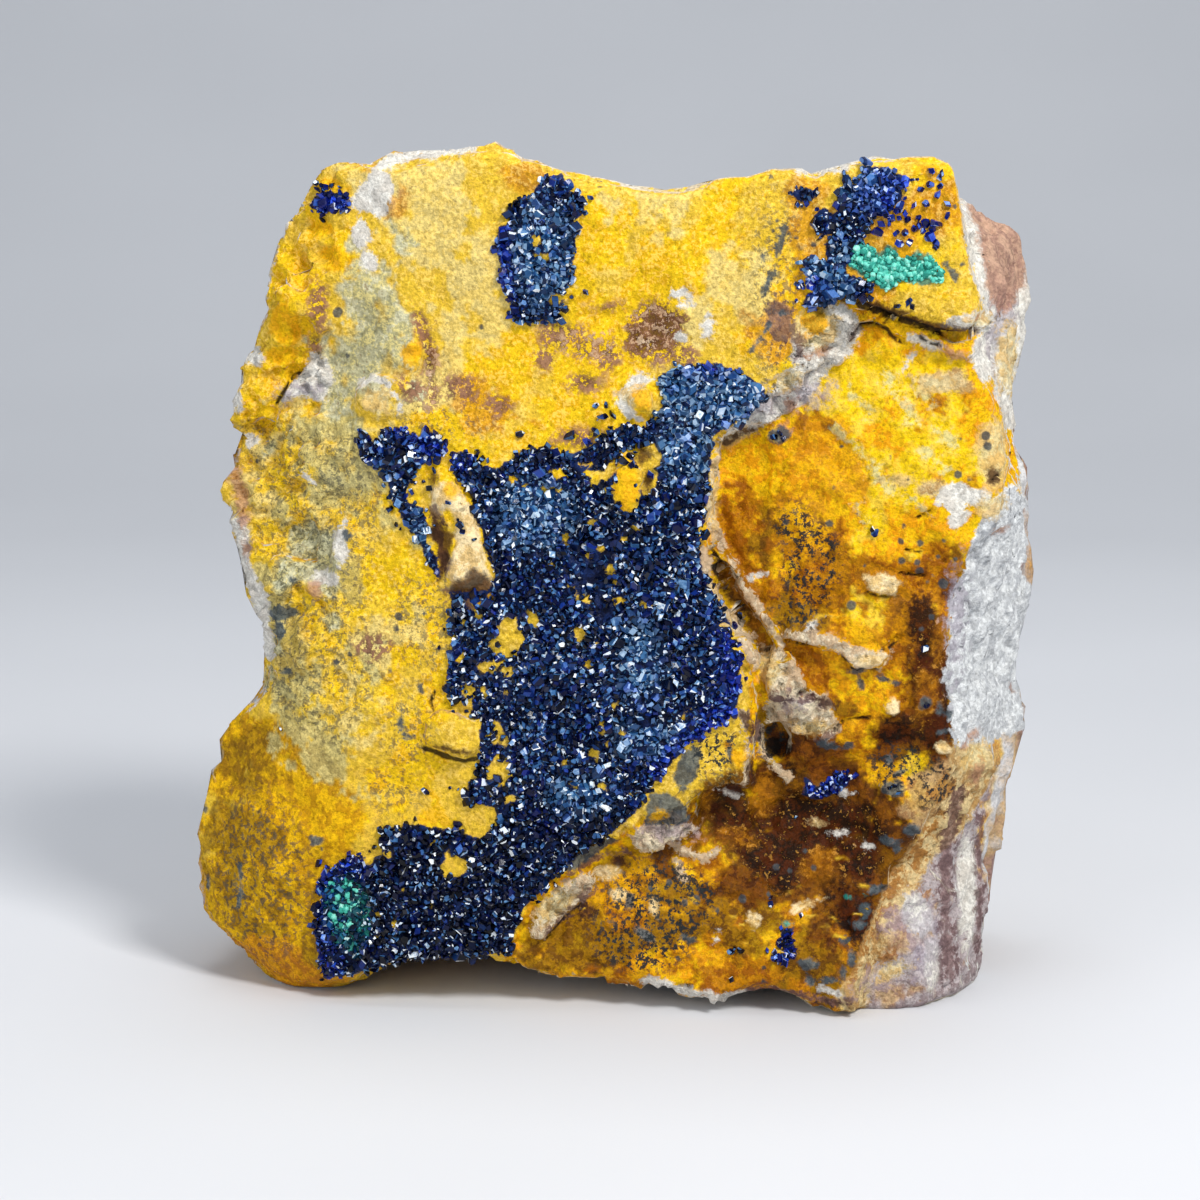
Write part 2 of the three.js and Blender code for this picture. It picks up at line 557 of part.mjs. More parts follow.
// One large crystal: a tilted block with a slanted top, rooted in the crust
function crystal(x, z, face, seed) {
  const size = BLOCK.size * randomBetween(SIZE_RANGE.block, seed + 6);
  const height = BLOCK.height * randomBetween(SIZE_RANGE.block, seed + 7);
  const turn = randomFor(seed) * Math.PI;
  const slender = randomBetween(BLOCK.slender, seed + 1);
  const leanX = (randomFor(seed + 2) - 0.5) * size * BLOCK.lean;
  const leanZ = (randomFor(seed + 3) - 0.5) * size * BLOCK.lean;
  const slope = (randomFor(seed + 4) - 0.5) * height * BLOCK.slope;
  const corners = [[-1, 1], [1, 1], [1, -1], [-1, -1]];
  const ring = (scale, shiftX, shiftZ, depth) => corners.map(([a, b]) => {
    const u = a * size * scale;
    const v = b * size * slender * scale;
    const px = x + shiftX + u * Math.cos(turn) - v * Math.sin(turn);
    const pz = z + shiftZ + u * Math.sin(turn) + v * Math.cos(turn);
    return [px, depth(px, pz, a), pz];
  });
  return loft([
    ring(BLOCK.top, leanX, leanZ, (px, pz, side) => -face(x, z) - height - slope * side),
    ring(1, 0, 0, (px, pz) => -face(px, pz) - CRYSTAL_ROOT),
  ]);
}

function spanOf(outline) {
  const xs = outline.map(([x]) => x);
  const zs = outline.map(([, z]) => z);
  return { x0: Math.min(...xs), x1: Math.max(...xs), z0: Math.min(...zs), z1: Math.max(...zs) };
}

// Evenly spread, uneven places inside an outline, each with its own seed
function scatter(outline, spacing, seed) {
  const span = spanOf(outline);
  const places = [];
  let index = seed;
  for (let z = span.z0; z <= span.z1; z += spacing) {
    for (let x = span.x0; x <= span.x1; x += spacing) {
      index += 10;
      const px = x + (randomFor(index) - 0.5) * spacing * SPREAD_JITTER;
      const pz = z + (randomFor(index + 5) - 0.5) * spacing * SPREAD_JITTER;
      if (isInside(outline, px, pz)) places.push({ x: px, z: pz, seed: index });
    }
  }
  return places;
}

// A crust of crystals grown together inside an outline: a field of pointed crystals, each on
// every second grid point, with some large blocks among them
function crust({ outline, gaps = [], face, seed, keepOff = [] }) {
  const isPeak = (column, row) => column % 2 === 1 && row % 2 === 1;
  const height = (column, row) => (
    randomBetween(isPeak(column, row) ? POINT.peak : POINT.valley, seed + row * 57 + column * 3)
  );
  const top = (x, z, column, row) => -face(x, z) - height(column, row);
  let body = reliefBlock(top, () => 0, POINT.cell, spanOf(outline)).intersect(prism(outline));
  for (const gap of gaps) body = body.subtract(prism(gap));
  for (const place of scatter(shrink(outline, 0.96), BLOCK.spacing, seed)) {
    const inGap = gaps.some((gap) => isInside(gap, place.x, place.z));
    if (!inGap) body = body.add(crystal(place.x, place.z, face, place.seed));
  }
  for (const piece of keepOff) body = body.subtract(piece);
  return largest(body.intersect(openSpace(face)));
}

// Green lumps on a thin base
function lumpyCrust({ outline, face, seed }) {
  let body = layer(outline, face, CRUST_GAP, CRUST_GAP + CRUST_THICKNESS);
  for (const place of scatter(shrink(outline, 0.9), LUMP.spacing, seed)) {
    const size = LUMP.size * randomBetween(SIZE_RANGE.lump, place.seed + 6);
    body = body.add(lump(place.x, place.z, face, size, place.seed));
  }
  return largest(body.intersect(openSpace(face)).intersect(prism(shrink(outline, 1.04))));
}

function lump(x, z, face, size, seed) {
  const { sides } = LUMP;
  const ring = (scale, height) => Array.from({ length: sides }, (_, i) => {
    const angle = -(i + randomFor(seed + i) * 0.5) * (2 * Math.PI / sides);
    const px = x + size * scale * Math.cos(angle);
    const pz = z + size * scale * Math.sin(angle);
    return [px, -face(px, pz) - height, pz];
  });
  return loft([
    ring(LUMP.peakSize, CRYSTAL_ROOT + size * LUMP.peak),
    ring(LUMP.shoulderSize, CRYSTAL_ROOT + size * LUMP.shoulder),
    ring(1, CRYSTAL_ROOT),
  ]);
}

// The largest body of a solid, without crumbs that a cut leaves
function largest(solid) {
  const bodies = solid.decompose();
  bodies.sort((a, b) => b.volume() - a.volume());
  return bodies[0];
}

function meshOf(name, solid, look) {
  const { numProp, vertProperties, triVerts } = solid.getMesh();
  const positions = [];
  for (let i = 0; i < vertProperties.length; i += numProp) {
    positions.push(vertProperties[i], vertProperties[i + 1], vertProperties[i + 2]);
  }
  const geometry = new THREE.BufferGeometry();
  geometry.setAttribute('position', new THREE.Float32BufferAttribute(positions, 3));
  geometry.setIndex(Array.from(triVerts));
  geometry.computeVertexNormals();
  const mesh = new THREE.Mesh(geometry, new THREE.MeshStandardMaterial({ ...look, flatShading: true }));
  mesh.name = name;
  return mesh;
}

const LOOK = {
  rock: { color: 0xcf9a2c, roughness: 0.8, metalness: 0 },
  azurite: { color: 0x14225e, roughness: 0.3, metalness: 0 },
  malachite: { color: 0x2fa98a, roughness: 0.75, metalness: 0 },
};

const mainCrust = () => crust({
  outline: MAIN_OUTLINE, gaps: MAIN_GAPS, face: upperFace, seed: 1000,
  keepOff: [
    ...[CHIP, STRIP, OVAL, NODULE].map((piece) => slab(piece, upperFace, CLEARANCE)),
    prism(shrink(LOWER_MALACHITE, MARGIN)),
  ],
});
const leftLobe = () => crust({
  outline: LEFT_OUTLINE, face: upperFace, seed: 2000, keepOff: [slab(STRIP, upperFace, CLEARANCE)],
});
const cornerPatch = () => crust({
  outline: CORNER_OUTLINE, face: upperFace, seed: 4000, keepOff: [prism(shrink(CORNER_MALACHITE, MARGIN))],
});

const pieces = {
  matrix_rock: [matrixRock, LOOK.rock],
  azurite_main_crust: [mainCrust, LOOK.azurite],
  azurite_left_lobe: [leftLobe, LOOK.azurite],
  azurite_top_patch: [() => crust({ outline: TOP_OUTLINE, face: upperFace, seed: 3000 }), LOOK.azurite],
  azurite_corner_patch: [cornerPatch, LOOK.azurite],
  azurite_edge_patch: [() => crust({ outline: EDGE_OUTLINE, face: upperFace, seed: 5000 }), LOOK.azurite],
  azurite_plate_spot: [() => crust({ outline: PLATE_SPOT, face: upperFace, seed: 6000 }), LOOK.azurite],
  azurite_hollow_spot: [() => crust({ outline: HOLLOW_SPOT, face: lowerFace, seed: 7000 }), LOOK.azurite],
  azurite_foot_spot: [() => crust({ outline: FOOT_SPOT, face: lowerFace, seed: 8000 }), LOOK.azurite],
  malachite_corner_patch: [
    () => lumpyCrust({ outline: CORNER_MALACHITE, face: upperFace, seed: 9000 }), LOOK.malachite,
  ],
  malachite_lower_left_patch: [
    () => lumpyCrust({ outline: LOWER_MALACHITE, face: upperFace, seed: 9500 }), LOOK.malachite,
  ],
};

const group = new THREE.Group();
for (const [name, [make, look]] of Object.entries(pieces)) group.add(meshOf(name, make(), look));

// The origin is the middle of the footprint's box, on the surface that the rock stands on
const bounds = new THREE.Box3().setFromObject(group);
const middle = bounds.getCenter(new THREE.Vector3());
group.position.set(-middle.x, -middle.y, -bounds.min.z);
group.updateMatrixWorld(true);

export default group;
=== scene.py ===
import itertools
import math
import bpy
import numpy as np
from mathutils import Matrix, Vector
from mathutils.bvhtree import BVHTree


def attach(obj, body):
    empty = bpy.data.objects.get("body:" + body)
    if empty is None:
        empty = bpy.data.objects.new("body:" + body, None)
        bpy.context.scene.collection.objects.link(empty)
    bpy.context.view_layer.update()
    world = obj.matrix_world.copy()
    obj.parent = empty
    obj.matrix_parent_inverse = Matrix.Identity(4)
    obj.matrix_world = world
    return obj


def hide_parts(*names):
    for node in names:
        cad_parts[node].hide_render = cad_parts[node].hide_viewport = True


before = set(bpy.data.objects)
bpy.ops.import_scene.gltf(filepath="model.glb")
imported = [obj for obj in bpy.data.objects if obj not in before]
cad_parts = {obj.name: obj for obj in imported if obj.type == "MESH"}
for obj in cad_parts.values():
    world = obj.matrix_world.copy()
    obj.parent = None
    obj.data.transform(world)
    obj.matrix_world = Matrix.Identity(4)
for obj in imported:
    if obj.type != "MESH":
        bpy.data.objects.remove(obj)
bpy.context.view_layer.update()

# Shapes are drawn in millimetres in the rock's own drawing frame, which DRAWING_SHIFT moves
# to the row frame. The face looks towards -Y, and an outline on it is a list of x and z.
MM = 0.001
DRAWING_SHIFT = np.array([-0.23, -0.09, 0.0])
# A distance to joined shapes is kept within FAR, and one not yet measured is UNMEASURED
FAR = 9.0
UNMEASURED = 1e9


# Repeatable noise

CELL_FACTORS = (73856093, 19349663, 83492791)
SEED_FACTOR = 265443576
HASH_FACTORS = (15731, 789221, 1376312589)
HASH_TOP = 0x7FFFFFFF


def hashed(ix, iy, iz, seed):
    """A number from 0 to 1 that depends only on a cell and the seed."""
    n = (ix * CELL_FACTORS[0]) ^ (iy * CELL_FACTORS[1]) ^ (iz * CELL_FACTORS[2]) ^ (seed * SEED_FACTOR)
    n = (n ^ (n >> 13)) & HASH_TOP
    n = (n * (n * n * HASH_FACTORS[0] + HASH_FACTORS[1]) + HASH_FACTORS[2]) & HASH_TOP
    return n / float(HASH_TOP)


def smooth_noise(points, scale, seed):
    """Value noise from -1 to 1 with bumps about scale millimetres across."""
    # Each seed turns and skews the cells in its own way, so that no two noises line up
    turn = 0.6 + 0.37 * seed
    c, s = math.cos(turn), math.sin(turn)
    turned = np.stack([
        points[:, 0] * c - points[:, 2] * s,
        points[:, 1] * 0.8 + points[:, 0] * 0.6 * s + points[:, 2] * 0.3,
        points[:, 0] * s + points[:, 2] * c,
    ], axis=1) / scale
    base = np.floor(turned).astype(np.int64)
    t = turned - base
    t = t * t * t * (t * (t * 6 - 15) + 10)
    total = np.zeros(len(points))
    for corner in range(8):
        dx, dy, dz = corner & 1, (corner >> 1) & 1, (corner >> 2) & 1
        weight = np.abs(1 - dx - t[:, 0]) * np.abs(1 - dy - t[:, 1]) * np.abs(1 - dz - t[:, 2])
        total += weight * hashed(base[:, 0] + dx, base[:, 1] + dy, base[:, 2] + dz, seed)
    return total * 2 - 1


def layered_noise(points, scale, octaves, seed, keep=0.5):
    """Noise with finer noise on it: each octave is half as wide and keeps a share of the strength."""
    total = np.zeros(len(points))
    strength = 1.0
    for octave in range(octaves):
        total += strength * smooth_noise(points, scale / 2 ** octave, seed + octave * 7)
        strength *= keep
    return total


def fracture(points, scale, seed):
    """Broken facets: each cell of about scale millimetres is a flat with a tilt of its own."""
    scaled = points / scale
    home = np.floor(scaled).astype(np.int64)
    nearest = np.full(len(points), UNMEASURED)
    height = np.zeros(len(points))
    for step in itertools.product((-1, 0, 1), repeat=3):
        cell = home + np.array(step)
        draws = [hashed(*cell.T, seed + k) for k in range(7)]
        offset = scaled - (cell + np.stack(draws[:3], axis=1))
        tilt = np.stack(draws[3:6], axis=1) * 2 - 1
        flat = (offset * tilt).sum(1) + draws[6] - 0.5
        distance = (offset ** 2).sum(1)
        closer = distance < nearest
        height = np.where(closer, flat, height)
        nearest = np.where(closer, distance, nearest)
    return height


def ramp(low, high, values):
    """A smooth rise from 0 at low to 1 at high."""
    t = np.clip((values - low) / (high - low), 0, 1)
    return t * t * (3 - 2 * t)


# Shapes on the face. Each is a function of x and z that gives the distance to the shape's
# edge in millimetres, above zero inside. In a list of shapes, a plain row is a blob's numbers.

def to_segment(x, z, start, end):
    """The distance to a straight segment."""
    (ax, az), (bx, bz) = start, end
    ex, ez = bx - ax, bz - az
    part = np.clip(((x - ax) * ex + (z - az) * ez) / (ex * ex + ez * ez), 0, 1)
    return np.hypot(x - ax - part * ex, z - az - part * ez)


def signed_distance(outline, x, z):
    """The distance to a closed outline, above zero inside it."""
    points = np.asarray(outline, float)
    nearest = np.full(x.shape, UNMEASURED)
    inside = np.zeros(x.shape, bool)
    for (ax, az), (bx, bz) in zip(points, np.roll(points, -1, axis=0)):
        nearest = np.minimum(nearest, to_segment(x, z, (ax, az), (bx, bz)))
        if az != bz:
            inside ^= ((az > z) != (bz > z)) & (x < (bx - ax) * (z - az) / (bz - az) + ax)
    return np.where(inside, nearest, -nearest)


def patch(*outline):
    return lambda x, z: signed_distance(outline, x, z)


def blob(x0, z0, wide, tall=None, turn=0):
    """An oval with its half width and half height, turned anticlockwise by turn degrees."""
    tall = tall or wide
    c, s = math.cos(math.radians(turn)), math.sin(math.radians(turn))

    def distance(x, z):
        u = (x - x0) * c + (z - z0) * s
        v = (z - z0) * c - (x - x0) * s
        return (1 - np.hypot(u / wide, v / tall)) * min(wide, tall)
    return distance


def vein(width, *line):
    """A band along a line of points."""
    def distance(x, z):
        return width / 2 - np.min([to_segment(x, z, a, b) for a, b in zip(line, line[1:])], axis=0)
    return distance


def joined(shapes, x, z):
    """The distance to the edge of several shapes together, kept within FAR."""
    best = np.full(x.shape, -FAR)
    for shape in shapes:
        distance = shape if callable(shape) else blob(*shape)
        best = np.maximum(best, distance(x, z))
    return np.minimum(best, FAR)


def deepest(outlines, x, z):
    """The distance to the edge of several outlines together."""
    return np.max([signed_distance(outline, x, z) for outline in outlines], axis=0)


# The upper bed ends along this broken edge
BED = [
    (60, 82), (41.5, 80.5), (38, 80), (32.5, 81.5), (27, 83.5), (21, 83), (20.5, 78.5), (19.5, 75),
    (17, 72), (13.5, 69), (11.5, 67.5), (11, 63), (10.2, 58), (10, 53.5), (12, 48), (15, 43),
    (15.5, 37.5), (15, 33), (14.5, 28), (10, 27), (8.5, 24.5), (4, 24), (1, 21.5), (-2.5, 19), (-7, 16.5),
    (-10, 13.5), (-12, 8), (-13.5, 4), (-14, -12), (-70, -12), (-70, 120), (60, 120),
]

# The crusts of blue crystals
MAIN_CRUST = [
    (-18.7, 65.5), (-17, 66), (-15.5, 64.5), (-13.5, 64), (-10.5, 66), (-8, 66.5), (-5, 65.5),
    (-1.5, 67.5), (1, 69.3), (4, 68.8), (5.5, 71.5), (4.6, 74.5), (8.5, 76), (11.5, 76), (15.5, 74.5),
    (17, 73), (15.5, 70.5), (11, 68), (10.8, 64), (10.6, 61), (9.6, 57), (9.6, 53.5), (11, 50),
    (12.5, 47.5), (14.4, 44), (14.2, 41.5), (14.6, 39.5), (13.5, 36), (10.5, 34), (8.5, 32.6), (6.5, 30),
    (5, 28.6), (3.4, 26), (2, 24), (-1.2, 21), (-4, 18.8), (-6.5, 17.2), (-8, 15), (-10.5, 12.8),
    (-11.6, 9.5), (-12.4, 7), (-16.5, 6), (-20.5, 6), (-26, 5.2), (-30.5, 3.6), (-34.6, 2.6),
    (-35.5, 8.5), (-34.5, 12.5), (-35, 15), (-31.5, 18), (-29.5, 18), (-27.5, 17.5), (-27, 21),
    (-23.5, 22), (-18.5, 21.5), (-16, 20.5), (-13.5, 22.4), (-14, 24.4), (-17.4, 25), (-17, 27),
    (-15.5, 28.5), (-15.6, 33), (-15.6, 35), (-19, 37), (-19.4, 39), (-18.8, 43.5), (-18.5, 46),
    (-19, 49.5), (-14.6, 50), (-13.6, 51.6), (-15, 55), (-15.6, 58), (-17, 61.5), (-18.4, 63),
]
LEFT_LOBE = [
    (-29.5, 68.5), (-28.5, 68), (-27.8, 66.6), (-26.5, 68), (-24, 68.5), (-22.5, 67), (-21, 68),
    (-19.5, 67), (-19.6, 65.4), (-21.4, 65), (-23, 63), (-24, 61.5), (-24, 60), (-22.6, 59.6),
    (-21.6, 57.8), (-22, 55.8), (-20.4, 53.6), (-20.2, 51.2), (-21.8, 52.8), (-22.4, 55.4), (-24.4, 58),
    (-25.6, 60), (-26.4, 63.4), (-28, 64.5), (-29.2, 64.2),
]
TOP_PATCH = [
    (-8, 97), (-6, 97.2), (-5.2, 95.4), (-3.4, 94.6), (-3.6, 93), (-4.6, 92), (-4.4, 89.5), (-5, 87),
    (-5.4, 85), (-6, 82.2), (-8, 80.8), (-10, 80.3), (-12, 81.4), (-11.6, 83), (-12.6, 85), (-13.2, 88),
    (-13.5, 90.5), (-12.2, 92), (-11.4, 94), (-9.6, 94.6),
]
CORNER_PATCH = [
    (24.3, 95.4), (25.6, 96.4), (26.9, 96), (27.8, 98), (30.2, 98.1), (31.8, 97.2), (32, 94.8),
    (30.4, 92.9), (28.4, 93), (27.8, 91), (27.4, 88.6), (25.6, 88.2), (26, 86.4), (29, 85.2),
    (28.8, 84.4), (25, 83.8), (23, 82.8), (21, 82.4), (21.2, 83.6), (22.4, 84.4), (20.8, 85.2),
    (22, 86.3), (20.6, 87.6), (21.6, 88.3), (23.6, 87.6), (23.4, 89.4), (24, 90.6), (22.4, 90.6),
    (21.7, 92), (23, 93.7), (24.4, 92.8), (26, 94.4),
]
EDGE_PATCH = [(-35, 93.6), (-33.8, 95.2), (-32.5, 95.2), (-30.2, 94.8), (-30.6, 93.4), (-33.6, 92.4)]
PLATE_SPOT = [(19.6, 95.2), (21, 96), (22.4, 95.4), (22, 94.4), (20.8, 94)]
HOLLOW_SPOT = [
    (22.2, 24.8), (22.4, 27), (23.6, 26.2), (25, 26.6), (26.2, 27.8), (27.6, 27.4), (27.2, 26.2),
    (25.6, 25), (24, 24.4),
]
FOOT_SPOT = [(19.4, 10.2), (20.8, 10.2), (21, 8), (21.3, 7.2), (19.8, 6.6), (18.5, 7.4), (19.4, 8)]
ALL_CRUSTS = [
    MAIN_CRUST, LEFT_LOBE, TOP_PATCH, CORNER_PATCH, EDGE_PATCH, PLATE_SPOT, HOLLOW_SPOT, FOOT_SPOT,
]

# Bare rock inside the crusts
OVAL = blob(1.3, 62.3, 1.5, 3.2)
NODULE = blob(2.4, 72, 2.6, 2.4)
BROWN_CRUMB = patch((1.8, 67), (4.5, 67), (5.4, 65.5), (4.6, 62.5), (3.8, 60.5), (2.9, 61.5), (2.4, 64.5))
COLUMN = patch(
    (-0.8, 58), (0.1, 58.2), (0, 54), (0.2, 50.5), (-0.8, 50), (-0.2, 47.5), (-1.8, 46.4), (-2.6, 49.4),
    (-4.4, 49.8), (-5, 51.8), (-4.2, 52.6), (-4.9, 55.2), (-3.4, 56.4), (-2.2, 55.6))
GAPS = [
    OVAL, NODULE, BROWN_CRUMB,
    patch((-14.6, 43.6), (-13.8, 45.8), (-12.6, 46.8), (-11.2, 47), (-10.8, 45.6), (-10.4, 44.2),
          (-11, 42.6), (-12.6, 42), (-13.8, 42.6)),
    patch((-3.8, 63.8), (-1.2, 64), (0, 65.4), (0.2, 63.6), (-1, 62.8), (-2, 62.6), (-2.8, 63.2)),
    patch((-15, 29), (-13.6, 30.8), (-12.2, 30.2), (-12, 28.2), (-13, 27), (-14.4, 27.4)),
    patch((-20.4, 17.6), (-19, 18.6), (-17.2, 18), (-17, 16.6), (-18.6, 16), (-19.8, 15.6)),
    patch((-4.6, 46), (-3.4, 46.2), (-3.2, 45), (-4.2, 43.4), (-4.6, 44.2)), (-14.8, 40.9, 1.1, 0.8),
    (-12.2, 40.5, 1, 0.7), (-17, 38.2, 0.8, 1), (-17.4, 36.4, 1, 0.6), (-16.2, 48.4, 1.1, 0.8),
    (-6.4, 63.4, 1, 0.6), vein(1, (-13.8, 34.3), (-13, 32.6), (-12.6, 31.8)), (-8.3, 88, 0.9, 0.5),
    (-8.9, 90, 0.5, 0.7), (-6.8, 83.2, 0.9, 0.6), (3.6, 48.8, 0.9, 0.5), (-1.4, 34, 0.5, 0.8),
    (0.6, 33.8, 0.9, 0.4, -20), (2.6, 57.4, 1, 0.5), (-9.4, 46.6, 0.6, 1.3, 30),
]

GAP_WIDE, GAP_TALL = (0.35, 0.9), (0.25, 0.5)


def small_gaps(seed, count, across, up):
    """Small bare spots at random places in a rectangle, from across and up ranges of x and z."""
    rng = np.random.default_rng(seed)
    spots = []
    for _ in range(count):
        x, z = rng.uniform(*across), rng.uniform(*up)
        spots.append((x, z, rng.uniform(*GAP_WIDE), rng.uniform(*GAP_TALL), rng.uniform(0, 180)))
    return spots


GAPS += small_gaps(5, 26, (-13, 2), (44, 66)) + small_gaps(6, 16, (-18, -11), (24, 50))
GAPS += small_gaps(7, 12, (-32, -12), (6, 20)) + small_gaps(8, 12, (-9, 9), (22, 42))

# Where the blue is milky, where it is brighter, and where it turns to teal
MILKY = [
    (10, 73, 7, 4), (8, 66, 3, 3), (3, 42, 2, 4), (4, 33, 3, 1.6), (-4, 26, 3, 2), (-8, 88, 3, 5),
    (29, 96, 3, 2), (23.5, 86, 3, 3), (-9, 59, 4, 4), (-21, 57, 2, 3),
]
VIVID = [
    vein(3.4, (13.2, 45), (14, 41), (13.6, 37), (10, 33.6), (6, 29.6)),
    vein(3, (-34, 4), (-33.6, 16), (-30, 17)), vein(1.6, (-12, 82), (-13, 87), (-12.6, 91)),
    (-32.6, 94, 2.4, 1.4), (30, 97, 1.6, 1), vein(1.6, (-24.6, 68.4), (-21, 66.4), (-17.4, 64.6)),
    (10.6, 75.4, 2, 0.8), (22, 84.6, 1.6, 1.4), (25, 26, 4, 3), (20, 8.6, 3, 3), (34, 92, 5, 7),
    (30, 95, 3, 2),
]
TEAL = [patch((-34, 14.6), (-31, 15.8), (-28.6, 13), (-28.8, 9), (-30, 6), (-33, 7), (-34.4, 10.4))]

# The green crusts
CORNER_GREEN = [
    (26.2, 88.4), (26.8, 89.6), (28.4, 89.4), (29.6, 88.4), (30.4, 89.6), (31.4, 89.2), (31.8, 88),
    (32.8, 88), (33.8, 89.2), (34.2, 87.8), (34.8, 88.8), (35.6, 88.2), (35.8, 86.8), (36.6, 85.8),
    (34.8, 85.2), (33, 85.2), (31.6, 85.6), (30.8, 84.6), (30, 84.4), (28.8, 85.4), (27, 86.6),
    (26, 87.4),
]
LOWER_GREEN = [(-33.6, 14.8), (-31, 15.8), (-29.4, 13), (-30, 9.4), (-32.6, 8), (-34.2, 10.4)]

# Forms on the face that are named in both the relief and the paint
HOLLOW = patch(
    (10.8, 54.6), (12.2, 54.4), (13.8, 51.4), (15.6, 48.6), (17.4, 45.4), (18.6, 43), (17.4, 41.4),
    (16.2, 43), (13.8, 46.4), (11.8, 49.4))
INNER_RIDGE = vein(1.1, (9.9, 54.4), (10.6, 51), (11.8, 48.4), (13.5, 46), (15.5, 43.6), (16.5, 41.2))
OUTER_RIDGE = vein(0.9, (11.6, 56.5), (13, 53.5), (14.6, 50.5), (16.5, 48), (18, 45.2), (19.3, 43.5))
UPPER_RIDGE = vein(1.1, (11.6, 66), (11, 62.5), (10.6, 59.6), (11, 57.6), (11.8, 56.2))
STRANDS = [
    vein(0.9, (14.8, 36), (15.2, 31), (15, 27)),
    vein(0.8, (17, 33.4), (17.4, 30.5), (19.2, 28), (20.4, 26.8)),
    vein(0.7, (2.4, 20.4), (6, 19.8), (8.4, 18.6), (10.6, 18), (12, 18.6)),
    vein(0.7, (7.2, 17.6), (8.2, 15.4)),
]
PIT = patch((17.2, 33), (19, 34), (20.3, 32.4), (20.2, 29.8), (18.8, 28.8), (17.4, 30.4))
DEEP = patch(
    (9.6, 26.6), (13, 27.4), (15, 26.8), (16.4, 23.2), (19, 23.8), (20.6, 26.4), (22, 24.4), (27, 24.8),
    (30, 24), (31.5, 21.6), (31.6, 18), (30, 14.4), (27, 15.4), (24.4, 17.4), (22, 15.2), (19.4, 13.6),
    (16.4, 16.4), (13, 18.2), (10.6, 20.4), (9.6, 23))
RUBBLE = patch(
    (16.8, 42), (19, 43.4), (20.6, 41.5), (22.2, 38.6), (24.4, 37.8), (25.4, 35.4), (26.2, 33.4),
    (24.8, 31.8), (23.6, 33.2), (21, 32.8), (19.4, 34), (17.2, 33.4), (17.6, 36.5), (18, 39.5))
SLIVER = patch(
    (-9.2, 11.6), (-7.6, 14), (-5, 15.8), (-2.8, 16.4), (-1.8, 15), (-3.6, 12.8), (-6.2, 10.4),
    (-8.4, 8.2), (-10, 8.8))
LEDGE_QUARTZ = patch(
    (20, 79), (22.4, 82.6), (25, 83), (27.5, 81.6), (28, 79.5), (26.6, 77), (25, 75.6), (21.6, 75),
    (19.6, 76.6))
BEVEL = patch(
    (11, 66.8), (13.4, 69.4), (17, 72.6), (19.4, 76), (22, 76.4), (24.6, 75.4), (22.4, 72.6), (21, 70.8),
    (19, 69.8), (16, 68), (13, 67))
LOW_FRAGMENT = patch(
    (1.6, 20.8), (2.6, 22.2), (5, 22.7), (9, 22.2), (9.8, 21.4), (7.4, 20.4), (5, 19.2), (3, 18.6))
STRIP = patch(
    (-18.5, 62.5), (-17.5, 61), (-16.3, 59.3), (-15.4, 57), (-15, 53), (-13.8, 50.6), (-14.5, 50),
    (-18.9, 50.2), (-19.4, 52.4), (-18.4, 55), (-18.2, 57.5), (-19.6, 60.4))
CHIP = patch(
    (-21.4, 35.2), (-20.6, 35.9), (-19.3, 36.4), (-18.4, 35.6), (-16.8, 34.8), (-15.2, 34.5),
    (-15.5, 32.5), (-16.1, 30.7), (-17.4, 30.4), (-19.9, 31), (-22, 31.9), (-22, 33.6))
SHEET = patch(
    (19.4, 44.4), (21.5, 44), (24, 43.6), (26, 42.8), (27.4, 41.2), (30.4, 41), (31.6, 43.2),
    (29.6, 43.4), (27.4, 43.6), (25, 45), (22, 45.4), (20, 45.4))
FLAKE = patch((28.8, 51.6), (30, 52.2), (31.8, 51.8), (32.6, 51.2), (32, 49.8), (30.4, 49.8), (29, 50.2))
LEFT_QUARTZ = patch(
    (-39, 70.8), (-37.5, 73), (-36, 74.3), (-35.2, 76.4), (-33.4, 76.4), (-32.5, 73.5), (-33.6, 71.2),
    (-36, 71.4))
SIDE_QUARTZ = patch(
    (40.8, 57), (42.2, 59.4), (43, 61.4), (46, 62), (50, 58), (52, 50), (50, 30), (44, 29.6), (42, 31),
    (40, 31), (38.6, 34.6), (38.9, 37.8), (37.6, 39.6), (38.2, 42), (38.4, 45), (38.2, 48), (39.2, 50.4),
    (40.2, 53.6))
TOP_STONE = patch(
    (39.6, 93), (43, 96), (52, 90), (50, 66), (44.8, 68), (42.6, 75), (42.4, 78.6), (41.6, 82), (40.2, 86))
SANDY_FOOT = patch(
    (39, 32), (44, 32), (46, 26), (43, 21), (40.4, 18.5), (37.6, 16.5), (34.6, 13), (32.6, 9.6), (31, 6),
    (30, 1), (28, -3), (27, -3), (25.6, 3), (28, 6.4), (29.4, 10), (31.4, 14), (33.6, 17.6), (36, 21.4),
    (38, 24.6))
